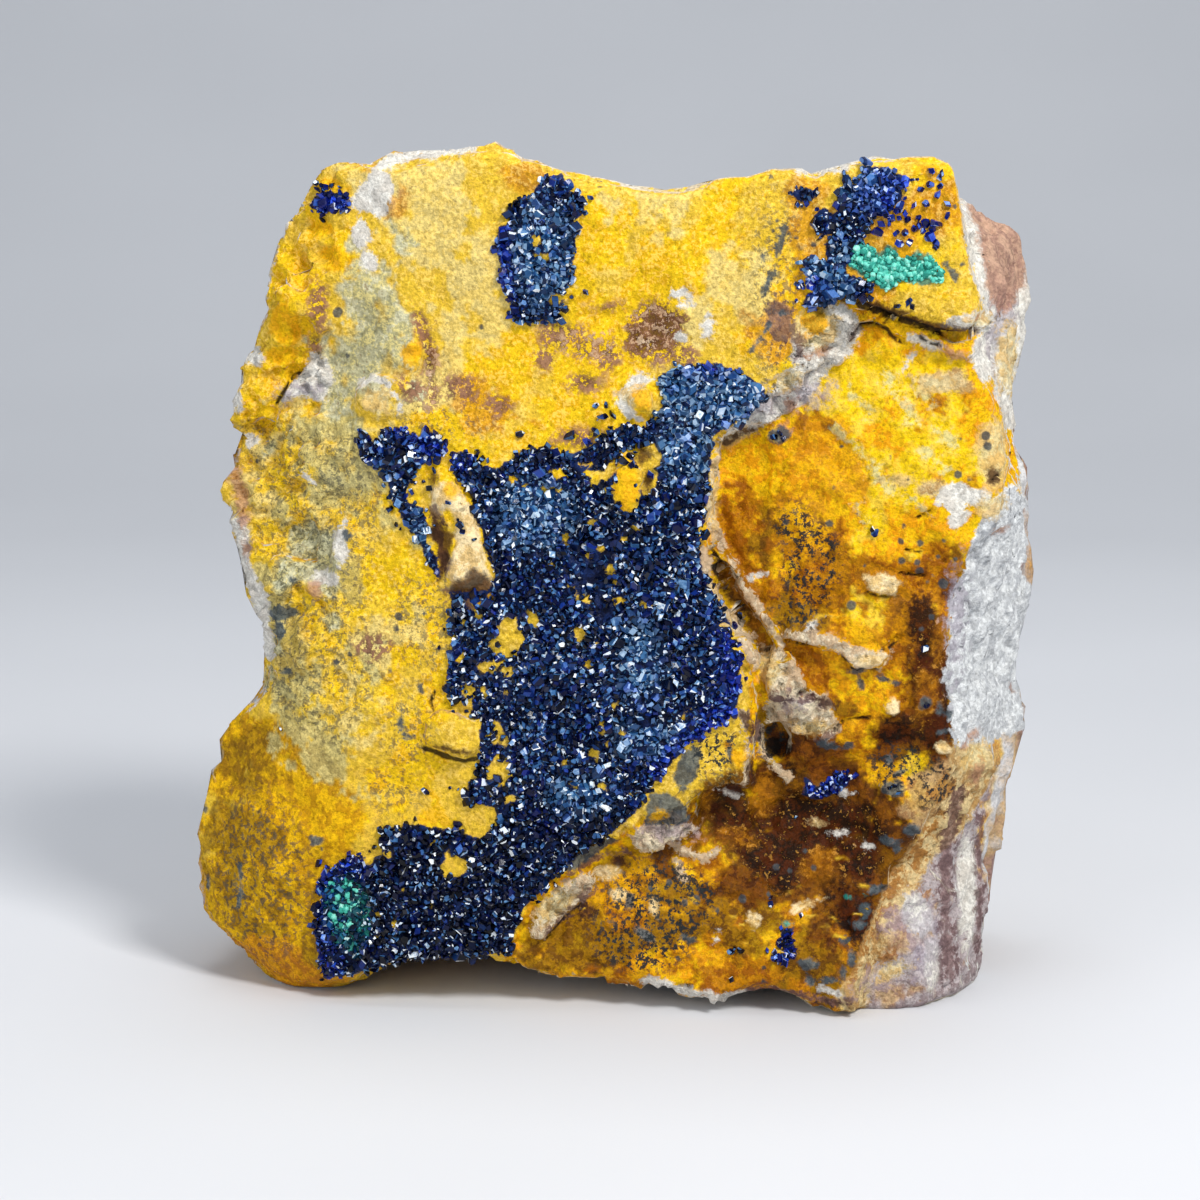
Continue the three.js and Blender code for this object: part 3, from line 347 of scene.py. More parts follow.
CRACKS = [
    vein(0.5, (-36.2, 74.2), (-37.4, 73.8), (-38.2, 72.4), (-39.4, 70.6)),
    vein(0.3, (33.2, 55), (34.4, 54.7), (35, 54.5)), vein(0.3, (32.4, 52.2), (34, 52), (35.4, 51.8)),
    vein(0.3, (34.4, 58.6), (36, 59.6)), vein(0.35, (19.6, 43.8), (21.4, 43.7), (23.6, 43.5)),
    vein(0.4, (26.2, 42.4), (27.4, 40.9), (30.2, 40.7)),
    vein(0.35, (28.8, 49.9), (30.6, 49.4), (32.4, 49.6)),
    vein(0.35, (30.4, 43), (31.6, 43.6), (32.8, 44.8)), vein(0.4, (-4, 12.2), (-6.4, 10), (-8.2, 8)),
    vein(0.3, (42.8, 63), (44, 63.6)),
    vein(0.45, (27.8, 80.4), (29.4, 80.6), (30.6, 80.1), (31.3, 79.1), (32.6, 78.4)),
    vein(0.35, (34.4, 79.2), (35.4, 78.4), (36.8, 78.2)),
    vein(0.3, (29.8, 34.9), (26.6, 34.4), (25.6, 33.2)),
    vein(0.3, (-20.8, 38), (-21.4, 36.6), (-21, 35.4)),
]


def below_bed(x, z):
    """The sunken face, where the upper bed has broken away."""
    return -signed_distance(BED, x, z)


def under_crusts(x, z):
    """The ground under the crusts, without their gaps."""
    return np.minimum(deepest(ALL_CRUSTS, x, z), -joined(GAPS, x, z))


def srgb(red, green, blue):
    """A colour given as it looks, 0 to 255, as the linear colour that the shader takes."""
    parts = [value / 255 for value in (red, green, blue)]
    return tuple(p / 12.92 if p < 0.04 else ((p + 0.055) / 1.055) ** 2.4 for p in parts) + (1,)


# The colours of the rock. Each layer has two colours that mottle it, how soft its edge is in
# millimetres, how far noise pushes that edge, how much it covers and how rough it is. A layer
# with speck covers only in specks, and a zone of the coat has a cloud that breaks it up.

def layer(light, dark, shapes, soft=0.3, ragged=0.8, cover=1.0, rough=0.75, speck=None, cloud=None):
    return dict(colours=(srgb(*light), srgb(*dark)), shapes=shapes, soft=soft, ragged=ragged,
                cover=cover, rough=rough, speck=speck, cloud=cloud)


# The coat: its two ground colours, then its broad zones from the first to the last
GROUND_COAT = ((240, 198, 58), (226, 184, 62))
COAT = [
    layer((250, 204, 26), (238, 182, 22), [
        patch((-31, 56), (-26, 66), (-14, 76), (-2, 80), (10, 78), (0, 66), (-18, 60), (-20, 50),
              (-18, 36), (-30, 30)),
        (-37, 82, 4, 6), (-34, 89, 4, 3), (14, 95, 6, 5), (3, 88, 9, 7), (35, 92, 4, 7), (-38, 73, 4, 4),
        (-9, 73, 9, 5), (38, 86, 3, 4), (-23, 44, 3, 9), (15, 88, 5, 7), (-38, 60, 3, 4), (-24, 26, 6, 5),
        (-2, 84, 5, 6),
    ], ragged=8, cloud=0),
    layer((238, 214, 136), (226, 196, 108), [
        patch((-29, 97), (-14, 99), (-10, 90), (-13, 80), (-17, 73), (-25, 70), (-26, 80)), (5, 94, 3, 3),
        (14, 84, 4, 3), (-36, 56, 6, 11), (-30, 45, 6, 8), (9, 81, 2, 2),
    ], ragged=8, cover=0.8, rough=0.8, cloud=1),
    layer((222, 172, 14), (178, 128, 14), [
        patch((-56, 30), (-42, 34), (-35, 31), (-31, 24), (-31, 18), (-36, 4), (-33, -4), (-56, -4)),
    ], ragged=3, cover=0.95, cloud=2),
    layer((240, 186, 14), (200, 146, 12), [
        (-39, 26, 8, 5), (-36, 12, 4, 6), (-45, 20, 3, 5), (-34, 22, 4, 4), (-44, 8, 3, 3),
    ], ragged=5, cover=0.9, cloud=0),
    layer((160, 118, 14), (112, 80, 16), [
        (-42, 14, 6, 8), (-47, 16, 3, 8), (-36, 8, 4, 5), (-44, 27, 4, 4), (-42, 5, 6, 3),
    ], ragged=5, cover=0.7, rough=0.6, cloud=1),
    layer((212, 200, 136), (176, 164, 104), [
        (-38, 36, 3, 3), (-30, 57, 6, 5), (-31.5, 40, 4, 4), (-38, 45, 4, 5), (-33, 30, 3, 2),
        (-33, 65, 4, 4), (-28, 61, 3, 4), (-38, 52, 3, 6),
    ], ragged=6, cover=0.75, rough=0.6, cloud=2),
    layer((248, 204, 24), (232, 184, 22), [
        (-38, 62, 3, 4), (-34, 47, 4, 6), (-27, 53, 3, 5), (-31, 35, 4, 3), (-40, 56, 2, 3),
    ], ragged=6, cover=0.85, cloud=0),
    layer((212, 210, 176), (182, 178, 132), [
        patch((-31.5, 92.5), (-27, 93), (-24, 90), (-24, 86), (-22.5, 84), (-22, 79), (-23, 75),
              (-26, 72), (-32, 71), (-34, 74), (-34, 78), (-32.6, 82), (-32, 86), (-31.5, 90)),
        (-34, 52, 2, 4), (-38, 53, 2, 5), (-40, 44, 2, 4),
    ], soft=0.4, ragged=4.5, cover=0.88, rough=0.5, cloud=1),
    layer((166, 162, 122), (138, 136, 104), [
        (-28.6, 79, 2.4, 5), (-29, 76, 3, 3), (-31, 62, 3, 3), (-33, 55, 2, 4), (-38, 42, 2, 4),
    ], soft=0.4, ragged=4.5, cover=0.5, rough=0.5, cloud=0),
    layer((226, 154, 24), (190, 118, 30), [
        (-9.6, 97.4, 1.4, 1.2), vein(1.2, (-27, 97.6), (-24.4, 97), (-24, 93)), (-16.6, 72, 2, 1.6),
        (-14, 69.6, 3, 1.2), (34, 90.6, 4, 2), (33, 95, 5, 4), (21, 90, 2, 7), (18, 80, 2, 4),
        (-43, 4, 5, 2), (-36, 2, 3, 1.6), (28, 89, 6, 5),
    ], soft=0.4, ragged=3.4, cover=0.7, cloud=2),
    layer((246, 192, 8), (222, 152, 6), [below_bed], soft=0.15, ragged=0.2, rough=0.42, cloud=0),
    # A lighter, glossier yellow on the bulge of the sunken face: partly its own yellow coat and partly
    # painted highlight where the bulge faces the light
    layer((248, 208, 16), (240, 204, 60), [
        (31, 66, 9, 8), (35, 73, 5, 5), (29, 57, 6, 4), (36, 55, 4, 3), (30, 47, 3, 2.4), (35, 28, 2, 3),
        (24, 72, 4, 3),
    ], soft=0.4, ragged=7, cover=0.85, rough=0.35, cloud=1),
    layer((188, 118, 2), (138, 74, 2), [
        (22, 69, 3, 3), (20, 52, 6, 7), (24, 47, 6, 4), (34, 45, 4, 7), (25, 40, 7, 5), (24, 30, 9, 6),
        (16, 58, 3, 2), (30, 38, 7, 6), (8, 9, 16, 8), (22, 9, 9, 8), (37, 50, 3, 4), (33, 33, 6, 6),
        (40, 72, 3, 1.4), (0, 8, 8, 5), (38, 62, 2, 1.4), (30, 51, 3, 3),
    ], soft=0.4, ragged=5, cover=0.9, rough=0.42, cloud=0),
    layer((150, 108, 6), (92, 62, 8), [
        (3, 13, 6, 5), (-5, 8, 5, 4), (30.6, 25, 2, 3), (34, 22.4, 3, 1.6), (24, 36, 4, 2),
        (19, 54, 3, 5), (14, 11, 8, 4), (25, 10, 5, 7), (19, 33, 3, 3), (20, 47, 3, 2),
    ], soft=0.4, ragged=5, cover=0.8, rough=0.5, cloud=2),
    layer((240, 176, 8), (206, 138, 6), [
        vein(2.4, (-12, 5.4), (-4, 4.6), (4, 4.6)), (13, 7, 3, 2), (13.6, 14.6, 3, 3), (6, 16, 3, 2),
        (19, 15, 2, 1.2), (11, 12, 2, 1.4), (26, 17, 2, 3, -40), (22.6, 12.4, 2, 1), (-1, 14, 3, 2),
        (27, 44, 4, 2), (24, 62, 5, 6), (29, 34, 2, 1.4), (30, 28, 3, 2),
    ], soft=0.4, ragged=4, cover=0.85, rough=0.42, cloud=1),
    layer((112, 56, 4), (70, 30, 4), [
        (20, 21, 13, 8), (31, 19, 5, 7), (37, 39, 2.4, 9), (12, 24, 4, 4), (34, 33, 3, 3), (22, 31, 3, 2),
        (26, 12, 5, 4),
    ], soft=0.6, ragged=5, cover=0.88, rough=0.5, cloud=2),
    layer((188, 176, 176), (148, 132, 132), [
        patch((37, 21), (50, 28), (50, -3), (28, -3), (30, 6), (33.4, 13), (37, 17.6)),
    ], soft=0.4, ragged=2, cloud=0),
    layer((206, 170, 118), (170, 128, 84), [
        (35, 9, 2.4, 1, 40), (34, 5, 2, 0.8, 30), (38.6, 25, 5, 4), (44, 27, 4, 3), (36, 2.6, 3, 1),
    ], soft=0.4, ragged=3, cover=0.8, cloud=2),
]

# The crisp layers over the coat, from the first to the last
PAINT = {
    "specks": layer((92, 96, 88), (66, 70, 68), [
        patch((-44, 68), (-30, 68), (-26, 60), (-29, 50), (-26, 40), (-32, 30), (-42, 36), (-41, 50)),
        (-24, 33, 3, 5), (-26, 26, 3, 3), (-22, 46, 4, 6), (12, 31, 4, 4), (3, 12, 6, 6), (20, 78, 4, 6),
        (-20, 70, 5, 3), (18, 86, 3, 8), (-42, 14, 6, 10),
    ], soft=2, ragged=3, cover=0.62, speck=0.5),
    "plum_grains": layer((116, 80, 62), (150, 108, 84), [
        (-6, 79, 2.6, 1.6), (-3.2, 77.6, 2, 1.2), (-0.8, 76.8, 1.4, 1.8), (-3.4, 73.8, 2, 1.2),
        (-17.6, 73, 2, 1.6), (-13.6, 71, 1.6, 1.2), (4.6, 79.6, 3.4, 3.6), (8, 77, 1.4, 1.4),
        (-8, 76.4, 1.2, 1.2), vein(1.5, (-22.4, 81.4), (-21.6, 78), (-21.2, 74.6), (-20.8, 71.6)),
        (-23.4, 73, 1.8, 1.2), (-34, 82.4, 1.1, 2.8), (-34.6, 77.6, 0.8, 1.2), (-0.8, 82.4, 1.4, 0.5),
        (-16, 49, 3, 1.4), (-4, 67.4, 3, 1), (-28, 43, 2, 1.6),
    ], soft=0.7, ragged=1.6, cover=0.95, speck=0.84),
    "plum": layer((96, 58, 40), (128, 86, 62), [
        (5.4, 80.8, 2.6, 2), (2.8, 78.6, 1.8, 1.8), (4.6, 79.2, 2.6, 2), (-21.2, 76.6, 0.5, 1.6),
    ], soft=0.5, ragged=3.2, cover=0.9),
    "plum_lights": layer((226, 200, 168), (196, 160, 124), [
        (4.4, 79.8, 3, 2.8), (-3, 78, 3, 1.6), (-21, 74, 1, 3),
    ], soft=0.6, ragged=2.2, cover=0.8, speck=0.5),
    "veil": layer((250, 236, 150), (208, 204, 150), [
        vein(0.7, (30.6, 75), (32.4, 71.6), (33.6, 69.6)), vein(0.5, (26.6, 73), (28.6, 70.6)),
        vein(0.5, (34, 74), (36, 71)), vein(0.5, (35, 66.4), (37.6, 64.2)),
        vein(0.4, (25, 68.6), (27.4, 66.6)), vein(0.5, (29, 64.6), (31.4, 62)),
        vein(0.4, (33.4, 61), (35.6, 59.4)), vein(0.4, (27.6, 60), (29, 58)),
        vein(0.4, (36.6, 69), (38.6, 67)),
    ], soft=0.5, ragged=3, cover=0.7, rough=0.5),
    "deep": layer((74, 28, 3), (24, 9, 3), [
        DEEP, (36.6, 40, 3, 6), (37, 34, 2.6, 4), (35, 46.6, 2, 3), (33, 33, 3, 2), HOLLOW,
        (28, 12, 2.4, 4, 30), PIT, (18, 27.6, 3, 1.4),
    ], soft=1.0, ragged=2.6, cover=0.94, rough=0.5),
    "deep_gold": layer((142, 84, 10), (176, 112, 12), [
        (14.6, 50.4, 1.2, 3.2, 40), (17.2, 44, 0.9, 1.8, 30), (17.6, 25, 1.4, 2.6), (13, 20, 2.4, 1),
        (24, 17, 2, 1.4, 30), (37.6, 44, 1, 2), (10.8, 24, 0.5, 2), (36, 38, 1.4, 3),
    ], soft=0.8, ragged=2.4, cover=0.85, rough=0.5),
    "deep_dust": layer((176, 104, 18), (204, 146, 60), [
        DEEP, (36.6, 40, 3, 6),
    ], soft=0.6, ragged=2, cover=0.5, rough=0.5, speck=0.22),
    "sandy": layer((226, 200, 146), (180, 142, 88), [
        SANDY_FOOT, (36, 62, 2, 1), patch((33, 74.6), (39, 75.6), (40.6, 73.4), (37, 72.6)),
    ], soft=0.4, ragged=1.6, rough=0.85),
    "sandy_ochre": layer((196, 138, 52), (158, 104, 44), [
        vein(0.8, (29, 8), (31.6, 13), (34.4, 17.6), (38.4, 23)), (33, 11, 1, 2, 30),
        (36, 17.6, 1.2, 0.8, 40), (38.2, 26.4, 1.8, 1.8), vein(1, (34, 11), (37, 13.4)),
        vein(1.2, (30.4, 5), (32.4, 6.6)), (27.4, 5.6, 1, 0.7),
    ], soft=0.4, ragged=3, cover=0.75, rough=0.85),
    "quartz": layer((238, 234, 224), (204, 198, 188), [
        vein(1.5, (-26.6, 98.2), (-22.6, 99.6), (-16.5, 100.2)), (-28.9, 90.6, 1, 1.6),
        (-28, 87.4, 1, 1.2),
        patch((-30.4, 93.6), (-29.4, 95.2), (-27.4, 97.6), (-26.4, 97.8), (-25, 96), (-25.5, 93.5),
              (-27, 92), (-28.5, 93.2)),
        vein(1.3, (-41, 83), (-40.2, 86.6), (-39.2, 90), (-37.4, 93.4)), LEFT_QUARTZ,
        vein(0.8, (-29.2, 73.4), (-27.4, 74.2), (-25.6, 73.4), (-24.5, 70.8)),
        vein(2.2, (-44, 56.6), (-43.4, 51), (-41.6, 48.4), (-41.2, 41)), (-31.8, 54.8, 0.9, 2.6),
        (-33.6, 50.8, 2, 0.8), vein(0.7, (-36.2, 62.8), (-34.8, 62)), (-42.6, 66, 1.1, 0.6),
        (-42, 76, 1.4, 1), (-44.4, 71, 1, 1.6), LEDGE_QUARTZ, BEVEL,
        patch((-0.2, 71.4), (1.4, 74.2), (3.4, 75), (5, 74.2), (3, 73.6), (2, 71.4), (3, 69.6),
              (1.4, 69.6)),
        (7, 84, 1.2, 0.8), (10.4, 80.4, 0.7, 1.2), (7.5, 79, 0.6, 0.6), (7.6, 82.6, 1, 0.4),
        vein(1.1, (33.2, 79), (34.6, 78.6), (36.4, 78)),
        vein(0.8, (39, 99), (39.4, 94), (39.6, 90), (40.4, 86), (42, 82)),
        patch((36.4, 61.4), (38, 63), (40.5, 62.4), (43.4, 61.2), (42.4, 60), (40, 60), (40.4, 59),
              (39, 57), (38, 58), (37.6, 60), (36.2, 60.4)),
        patch((36.8, 80.6), (38, 81.7), (40.6, 82.2), (44, 82.4), (44, 76), (42, 73), (39.8, 77),
              (41, 79.6), (39, 80)),
        vein(0.6, (15.4, 50.8), (17.6, 51.8)), vein(0.8, (21.6, 44.8), (23, 46.6)),
        (33.6, 76.6, 0.9, 0.35, 50), TOP_STONE, (35.6, 11, 1.6, 3, 30), (42.4, 12, 1.4, 7),
        (37.4, 5, 1, 3), vein(1.5, (3.6, 3.6), (8, 2.6), (12, 1.8), (15, 2)), (5.8, 3.4, 1.4, 0.8),
        vein(1, (24, 3.4), (26, 3)), (27, 25.4, 0.6, 0.3), (13.4, 25.4, 1.2, 0.4, -30),
        (12, 9, 0.4, 0.6, -20), (29.6, 19.4, 0.8, 0.4), (26.4, 20.4, 0.9, 0.3),
        vein(1, (10, 97), (11.6, 98), (12, 98.6)),
        vein(1.2, (19.6, 98.8), (22, 97.6), (25, 98.4), (29, 99.6)),
    ], soft=0.25, ragged=1.5, rough=0.45),
    "ice": layer((232, 234, 234), (186, 188, 190), [SIDE_QUARTZ], soft=0.25, ragged=1.6, rough=0.4),
    "bone": layer((236, 220, 188), (196, 168, 134), [
        UPPER_RIDGE, INNER_RIDGE, OUTER_RIDGE, *STRANDS, RUBBLE, SLIVER, SHEET, LOW_FRAGMENT,
    ], soft=0.2, ragged=2, rough=0.55),
    "lavender": layer((194, 186, 198), (160, 150, 162), [
        (33.4, 11, 2, 1.4, 30), (36.4, 8, 2, 4), (39.4, 46, 1, 5), (6.4, 21.6, 2.4, 0.9),
        (17, 71.4, 2, 1.2, 30), (21, 36.8, 1.8, 0.8), (-37, 71.8, 1.6, 0.6, 20), (44.6, 80, 2.4, 5),
        (31, 3.6, 2, 1.4), (22, 73, 2, 1.6),
    ], soft=0.8, ragged=4, cover=0.6, rough=0.5),
    "cream": layer((232, 214, 160), (218, 184, 116), [
        (2.2, 72.2, 1.6, 1.2), (-7, 12.4, 2.4, 1.4, 40), (43, 60, 2, 1.4), (43, 66, 2, 4), FLAKE,
        (-27.2, 71.6, 1.8, 1.6), (45.6, 76, 2, 4), (32.6, 4.8, 2, 1, 20), (23, 33.6, 1.8, 0.8),
        (41, 81, 2, 0.9), (14, 67.6, 2.4, 0.6, 25), vein(0.9, (31.4, 63), (33.2, 62.8)),
        (42.4, 29.4, 2, 1.6), (18, 40.6, 1.3, 1.6), (36, 73.8, 2.4, 0.9), (22.6, 80.2, 2.6, 2.6),
        (11.2, 61, 0.6, 3), (19.6, 74.4, 2, 1, 40), vein(0.8, (13.4, 45.6), (12, 47.6), (10.6, 50.6)),
    ], soft=0.5, ragged=2, cover=0.85, rough=0.6),
    "beige": layer((232, 196, 130), (244, 220, 170), [
        STRIP, (-32.7, 14.8, 0.8, 1.3, 10), FLAKE, (29.4, 42.2, 1.8, 0.8), (-20, 60.6, 1.2, 1.8),
        (38, 31.6, 0.9, 0.8), (32, 36.4, 0.8, 0.8), (24, 21.6, 1, 0.5), (-1, 16, 1.6, 1),
        (0.6, 13.6, 0.9, 0.7), (4.6, 12.4, 0.5, 1, 20), (16.2, 11, 0.7, 0.9), (22.4, 12.6, 1.3, 0.4, 20),
    ], soft=0.3, ragged=0.9, rough=0.7),
    "purple": layer((132, 100, 98), (98, 72, 72), [
        vein(1, (-4.8, 16.8), (-2, 18.2), (1, 18.6)),
        vein(1.1, (16, 2.6), (19, 2.9), (23, 2.2), (26.6, 2)),
        vein(2, (40.4, 25), (39.4, 17), (39.4, 9), (40, 3)), vein(1.1, (44, 20), (44.2, 12), (44, 4)),
        (18.8, 37.4, 0.9, 0.9), (21.6, 37.6, 1.6, 0.6), (16.4, 33.6, 0.8, 1.6), (20.6, 77.4, 0.6, 1.6),
        (18.6, 81, 1.6, 2.4), vein(0.7, (-2.4, 14), (-5, 11.4), (-7.6, 9.2)),
        vein(1.3, (-20.6, 58.6), (-20.2, 55), (-19.2, 52.6)), (24.8, 32.6, 0.8, 0.5),
    ], soft=0.4, ragged=2.4, cover=0.8, rough=0.7),
    "rust": layer((156, 96, 66), (188, 142, 112), [
        patch((41, 93), (43.4, 94.6), (47, 93), (49, 88.6), (48.6, 84), (46, 81.6), (43.4, 81.2),
              (41.8, 85)),
        (38, 77.2, 1.4, 0.6, -20), vein(0.5, (21.6, 77), (24.4, 77.7)),
        vein(1.6, (-45.6, 66.5), (-45, 63), (-43.8, 60), (-43.4, 57)), (40.4, 81.4, 0.5, 0.3),
        vein(0.6, (40.4, 30.8), (42, 32.4), (42.8, 32)), (42.8, 27.4, 0.8, 1.6), (18.8, 68.4, 1, 0.4),
        (20, 71, 0.8, 1.2), (-43, 53.6, 0.6, 1.2), (44.6, 56.4, 0.8, 0.5), (-35, 49.4, 0.9, 0.9),
    ], soft=0.5, ragged=1.6, cover=0.8, rough=0.75),
    # Dark brown: mostly the rock's own brown, but the patch on the steep left flank of the raised strip is
    # painted shade
    "chocolate_and_shade": layer((88, 50, 32), (62, 36, 26), [
        patch((-19, 50.9), (-17, 51.6), (-16.4, 53), (-15, 52), (-13.8, 50.7), (-14.2, 49.2),
              (-18.6, 49.2)),
        patch((-21.2, 58.6), (-20, 58), (-18.4, 56.2), (-18.6, 55), (-19.4, 52), (-20.2, 51),
              (-20.6, 54)),
        (3.2, 65.6, 1, 0.8), (3.8, 63, 0.6, 1.4), vein(1, (14.9, 35.6), (15.8, 33.8)),
        vein(0.9, (15.6, 29.4), (16.2, 26.6)),
        vein(1, (25, 83.8), (28, 83.1), (30, 82.5), (32.6, 81.5), (35.4, 80.6), (38, 79.9), (40.6, 80)),
        (43, 63.4, 0.9, 0.9), (-20.8, 62.6, 0.6, 0.6), (-16.8, 62.4, 0.5, 0.7),
        vein(0.8, (12.6, 66.8), (15, 68.2), (16.6, 68.6)), (0.4, 17.4, 1.4, 0.6),
        (-3, 11.6, 1.4, 0.7, 30), (12, 38, 1, 1.4), (14.2, 26.2, 1, 0.8), (24, 37, 1.4, 0.5, -30),
        vein(0.6, (-21, 31.9), (-18.6, 31.4), (-17, 31)),
        vein(0.5, (28.2, 81.6), (27.6, 80.4), (26.6, 78.6)),
    ], soft=0.35, ragged=1.2, cover=0.88, rough=0.75),
    "slate": layer((96, 108, 112), (66, 76, 82), [
        patch((17.7, 88), (18.2, 90), (18.6, 91.8), (19.4, 91.6), (18.8, 89.8), (18.4, 88)),
        patch((16.3, 84.2), (17.2, 86.3), (18, 86.5), (17.2, 84.6), (16.6, 83.2)),
        vein(0.7, (15.4, 77.6), (16.6, 79.4), (17.4, 80.6)),
        vein(0.7, (36.8, 87.6), (37.6, 86.6), (38, 85.6)), (16.6, 88, 0.4, 0.5), (18.8, 81.8, 0.8, 0.3),
        patch((-6.4, 17.4), (-5.4, 20), (-4, 22), (-1.4, 21), (0.6, 20.6), (-1.8, 18.8), (-4.4, 17)),
        patch((3.4, 22.6), (4, 26.6), (6, 26.8), (8.4, 24.8), (8.8, 22.6), (6, 22.4)),
        (8.4, 29.6, 1.2, 3, -15), (18.6, 67.8, 1.3, 0.9), (-39, 46.3, 1.3, 0.9), (-37.6, 46.6, 0.7, 0.6),
        (-39.2, 44.2, 0.8, 1), (-38.6, 39.2, 1, 0.4, 20), (-31, 55.8, 0.4, 0.8),
        (-37.4, 50.6, 0.6, 0.4, -40), (-35, 19.8, 0.8, 0.7),
        vein(0.7, (-44.6, 15.4), (-44.6, 12), (-45, 10.4)), (-49, 12.2, 0.4, 0.9),
        (-49.2, 21.4, 0.4, 0.5), vein(0.5, (-22.6, 38.8), (-22.4, 37.8)), (-24.8, 33.8, 0.5, 1.4),
        (-24, 32.4, 0.8, 0.4), (24.6, 31.6, 1, 0.5, 10), (25.6, 31, 0.8, 0.4), (32.4, 26.6, 1.4, 0.9),
        (33.4, 28.4, 1.2, 0.4, 20), (27.2, 31.4, 0.5, 0.5), (32, 29.6, 0.4, 1), (34.6, 22, 1, 0.8),
        (32, 20.4, 1, 0.5), (33, 19.4, 0.5, 0.5), (30.4, 14.6, 1.4, 0.5), (29.2, 12.4, 0.7, 0.7),
        (28.4, 11, 0.8, 0.5), (26.6, 9.4, 0.6, 0.4), (22.6, 6.4, 1, 0.7), (22.8, 4.2, 0.6, 0.6),
        (27.4, 7.4, 0.5, 0.9), (25, 4.6, 1, 0.4), (26.6, 5.6, 0.4, 0.7), (31, 39.6, 0.7, 0.4),
        (32.2, 39.2, 0.5, 0.3), (28, 40.6, 1.1, 0.4), (28.4, 39, 0.4, 0.8, 20), (35.8, 37, 0.7, 0.8),
        (37.4, 36, 0.4, 0.9), (38.6, 35.4, 0.6, 0.4), (37.8, 33.4, 0.5, 0.4), (13.2, 31.6, 0.4, 0.9),
        (3.6, 9.4, 1.4, 0.7, -30), (8, 9.2, 0.6, 0.4), (9, 8.8, 0.5, 0.4), (1.8, 13, 0.5, 1, -20),
        (24, 25.4, 0.6, 1),
    ], soft=0.2, ragged=0.9, cover=0.9, rough=0.6),
    "flecks": layer((58, 64, 66), (40, 44, 46), [
        (22.4, 53, 3.4, 5), (20.6, 57, 2, 3), (21, 47.4, 3, 1.8), (6, 13, 6, 4), (3, 8, 5, 3),
        (18.4, 31.2, 1.4, 2), (33, 29, 3, 2.6), (12, 31.6, 3, 2), (37.4, 27, 2, 3),
    ], soft=1.0, ragged=2, cover=0.95, speck=0.56),
    "dots": layer((84, 90, 92), (62, 66, 70), [
        (25.8, 66.6, 0.25), (31.2, 65.6, 0.25), (33.8, 63.9, 0.2), (33.3, 63.1, 0.2), (33, 61.8, 0.2),
        (34.1, 60.7, 0.15), (24.9, 62, 0.25), (20.5, 59.2, 0.3), (27.5, 59, 0.2), (24.5, 57.8, 0.5),
        (19.6, 57.8, 0.4), (32.9, 57.6, 0.3), (32.6, 55.9, 0.35), (34.8, 55.7, 0.45), (37.4, 56.1, 0.3),
        (36.9, 54.1, 0.3), (38.8, 53.9, 0.3), (32.7, 53.7, 0.45), (34.5, 53.5, 0.4), (34.8, 52.4, 0.5),
        (36.4, 51.9, 0.2), (37.6, 50.9, 0.6), (35.8, 51.1, 0.25), (39.6, 50.1, 0.3), (28.5, 53.1, 0.25),
        (27.1, 48.4, 0.6), (36.2, 47.2, 0.35), (35.1, 45.8, 0.35), (38.9, 63.6, 0.5), (40.2, 63.1, 0.3),
        (42, 68, 0.5), (42.2, 66.8, 0.5), (39, 67.6, 0.25), (17.4, 97, 0.3), (18.1, 92.2, 0.3),
        (17.6, 91.1, 0.25), (22.2, 89.5, 0.3), (20.3, 90.3, 0.3), (37.8, 93.8, 0.3), (38.7, 87.4, 0.35),
        # The dot at (-31.8, 81.4) is a small hole painted dark as painted shade
        (20.8, 92.4, 0.2), (-1.8, 96.1, 0.4), (-31.8, 81.4, 0.6), (-30.8, 76.4, 0.3), (-15.2, 80, 0.3),
        (18, 13.9, 0.3), (15, 13.3, 0.5), (19, 16.6, 0.4), (20.6, 16.2, 0.3), (22.4, 18.4, 0.3),
        (23.4, 16.6, 0.35), (12, 12.2, 0.3), (9.6, 13.2, 0.5), (8.2, 13, 0.4), (6.4, 15, 0.4),
        (4.2, 14.4, 0.3), (7.4, 6.6, 0.3), (17.4, 5.8, 0.3), (17.4, 4.2, 0.3), (-26.6, 43.6, 0.3),
        (-25, 46.6, 0.5), (-22, 47, 0.25), (-25.2, 45.2, 0.3), (-32.4, 41, 0.35), (-30.8, 42, 0.3),
        (-26, 40.4, 0.3), (-32.6, 48.6, 0.3), (-42, 63.6, 0.3), (-34.4, 18.8, 0.3),
    ], soft=0.12, ragged=0.22, cover=0.9, rough=0.6),
    "yellow_spots": layer((250, 196, 14), (240, 176, 12), [
        (-23, 76.6, 1.1, 1.8), (22.4, 81, 1.6, 1.8), (3, 72, 1, 1.5), (-38, 80, 1.8, 2.6),
        (-32, 87.6, 2, 1.4), (-38.6, 76.4, 1.8, 1.2), (-33.4, 91, 1.3, 0.9), (-32.6, 95.6, 2, 0.9),
        (-18.8, 61.4, 0.9, 0.8), OVAL, (-14.6, 48.9, 1.3, 0.9), (5, 23.8, 1, 0.7, 30),
        (18.6, 53.4, 0.6, 1), (14.4, 31, 0.7, 1.6),
    ], soft=0.35, ragged=1.2, cover=0.9, rough=0.8),
    # Painted shade: near-black in the cracks and grooves, under the top-right ledge and under the chip,
    # where shade falls
    "crack_shade": layer((34, 24, 18), (20, 15, 12), [
        *CRACKS, (11.8, 52.8, 0.7, 1.6, 20), (18.6, 30.6, 0.9, 1.2),
        vein(0.7, (-22, 31.3), (-20, 30.4), (-17.6, 29.9), (-16.2, 30.1)),
        vein(0.9, (27.4, 82.9), (30, 82), (33, 80.9), (35.8, 79.9), (38.6, 79.4)),
    ], soft=0.14, ragged=0.25, cover=0.92, rough=0.8),
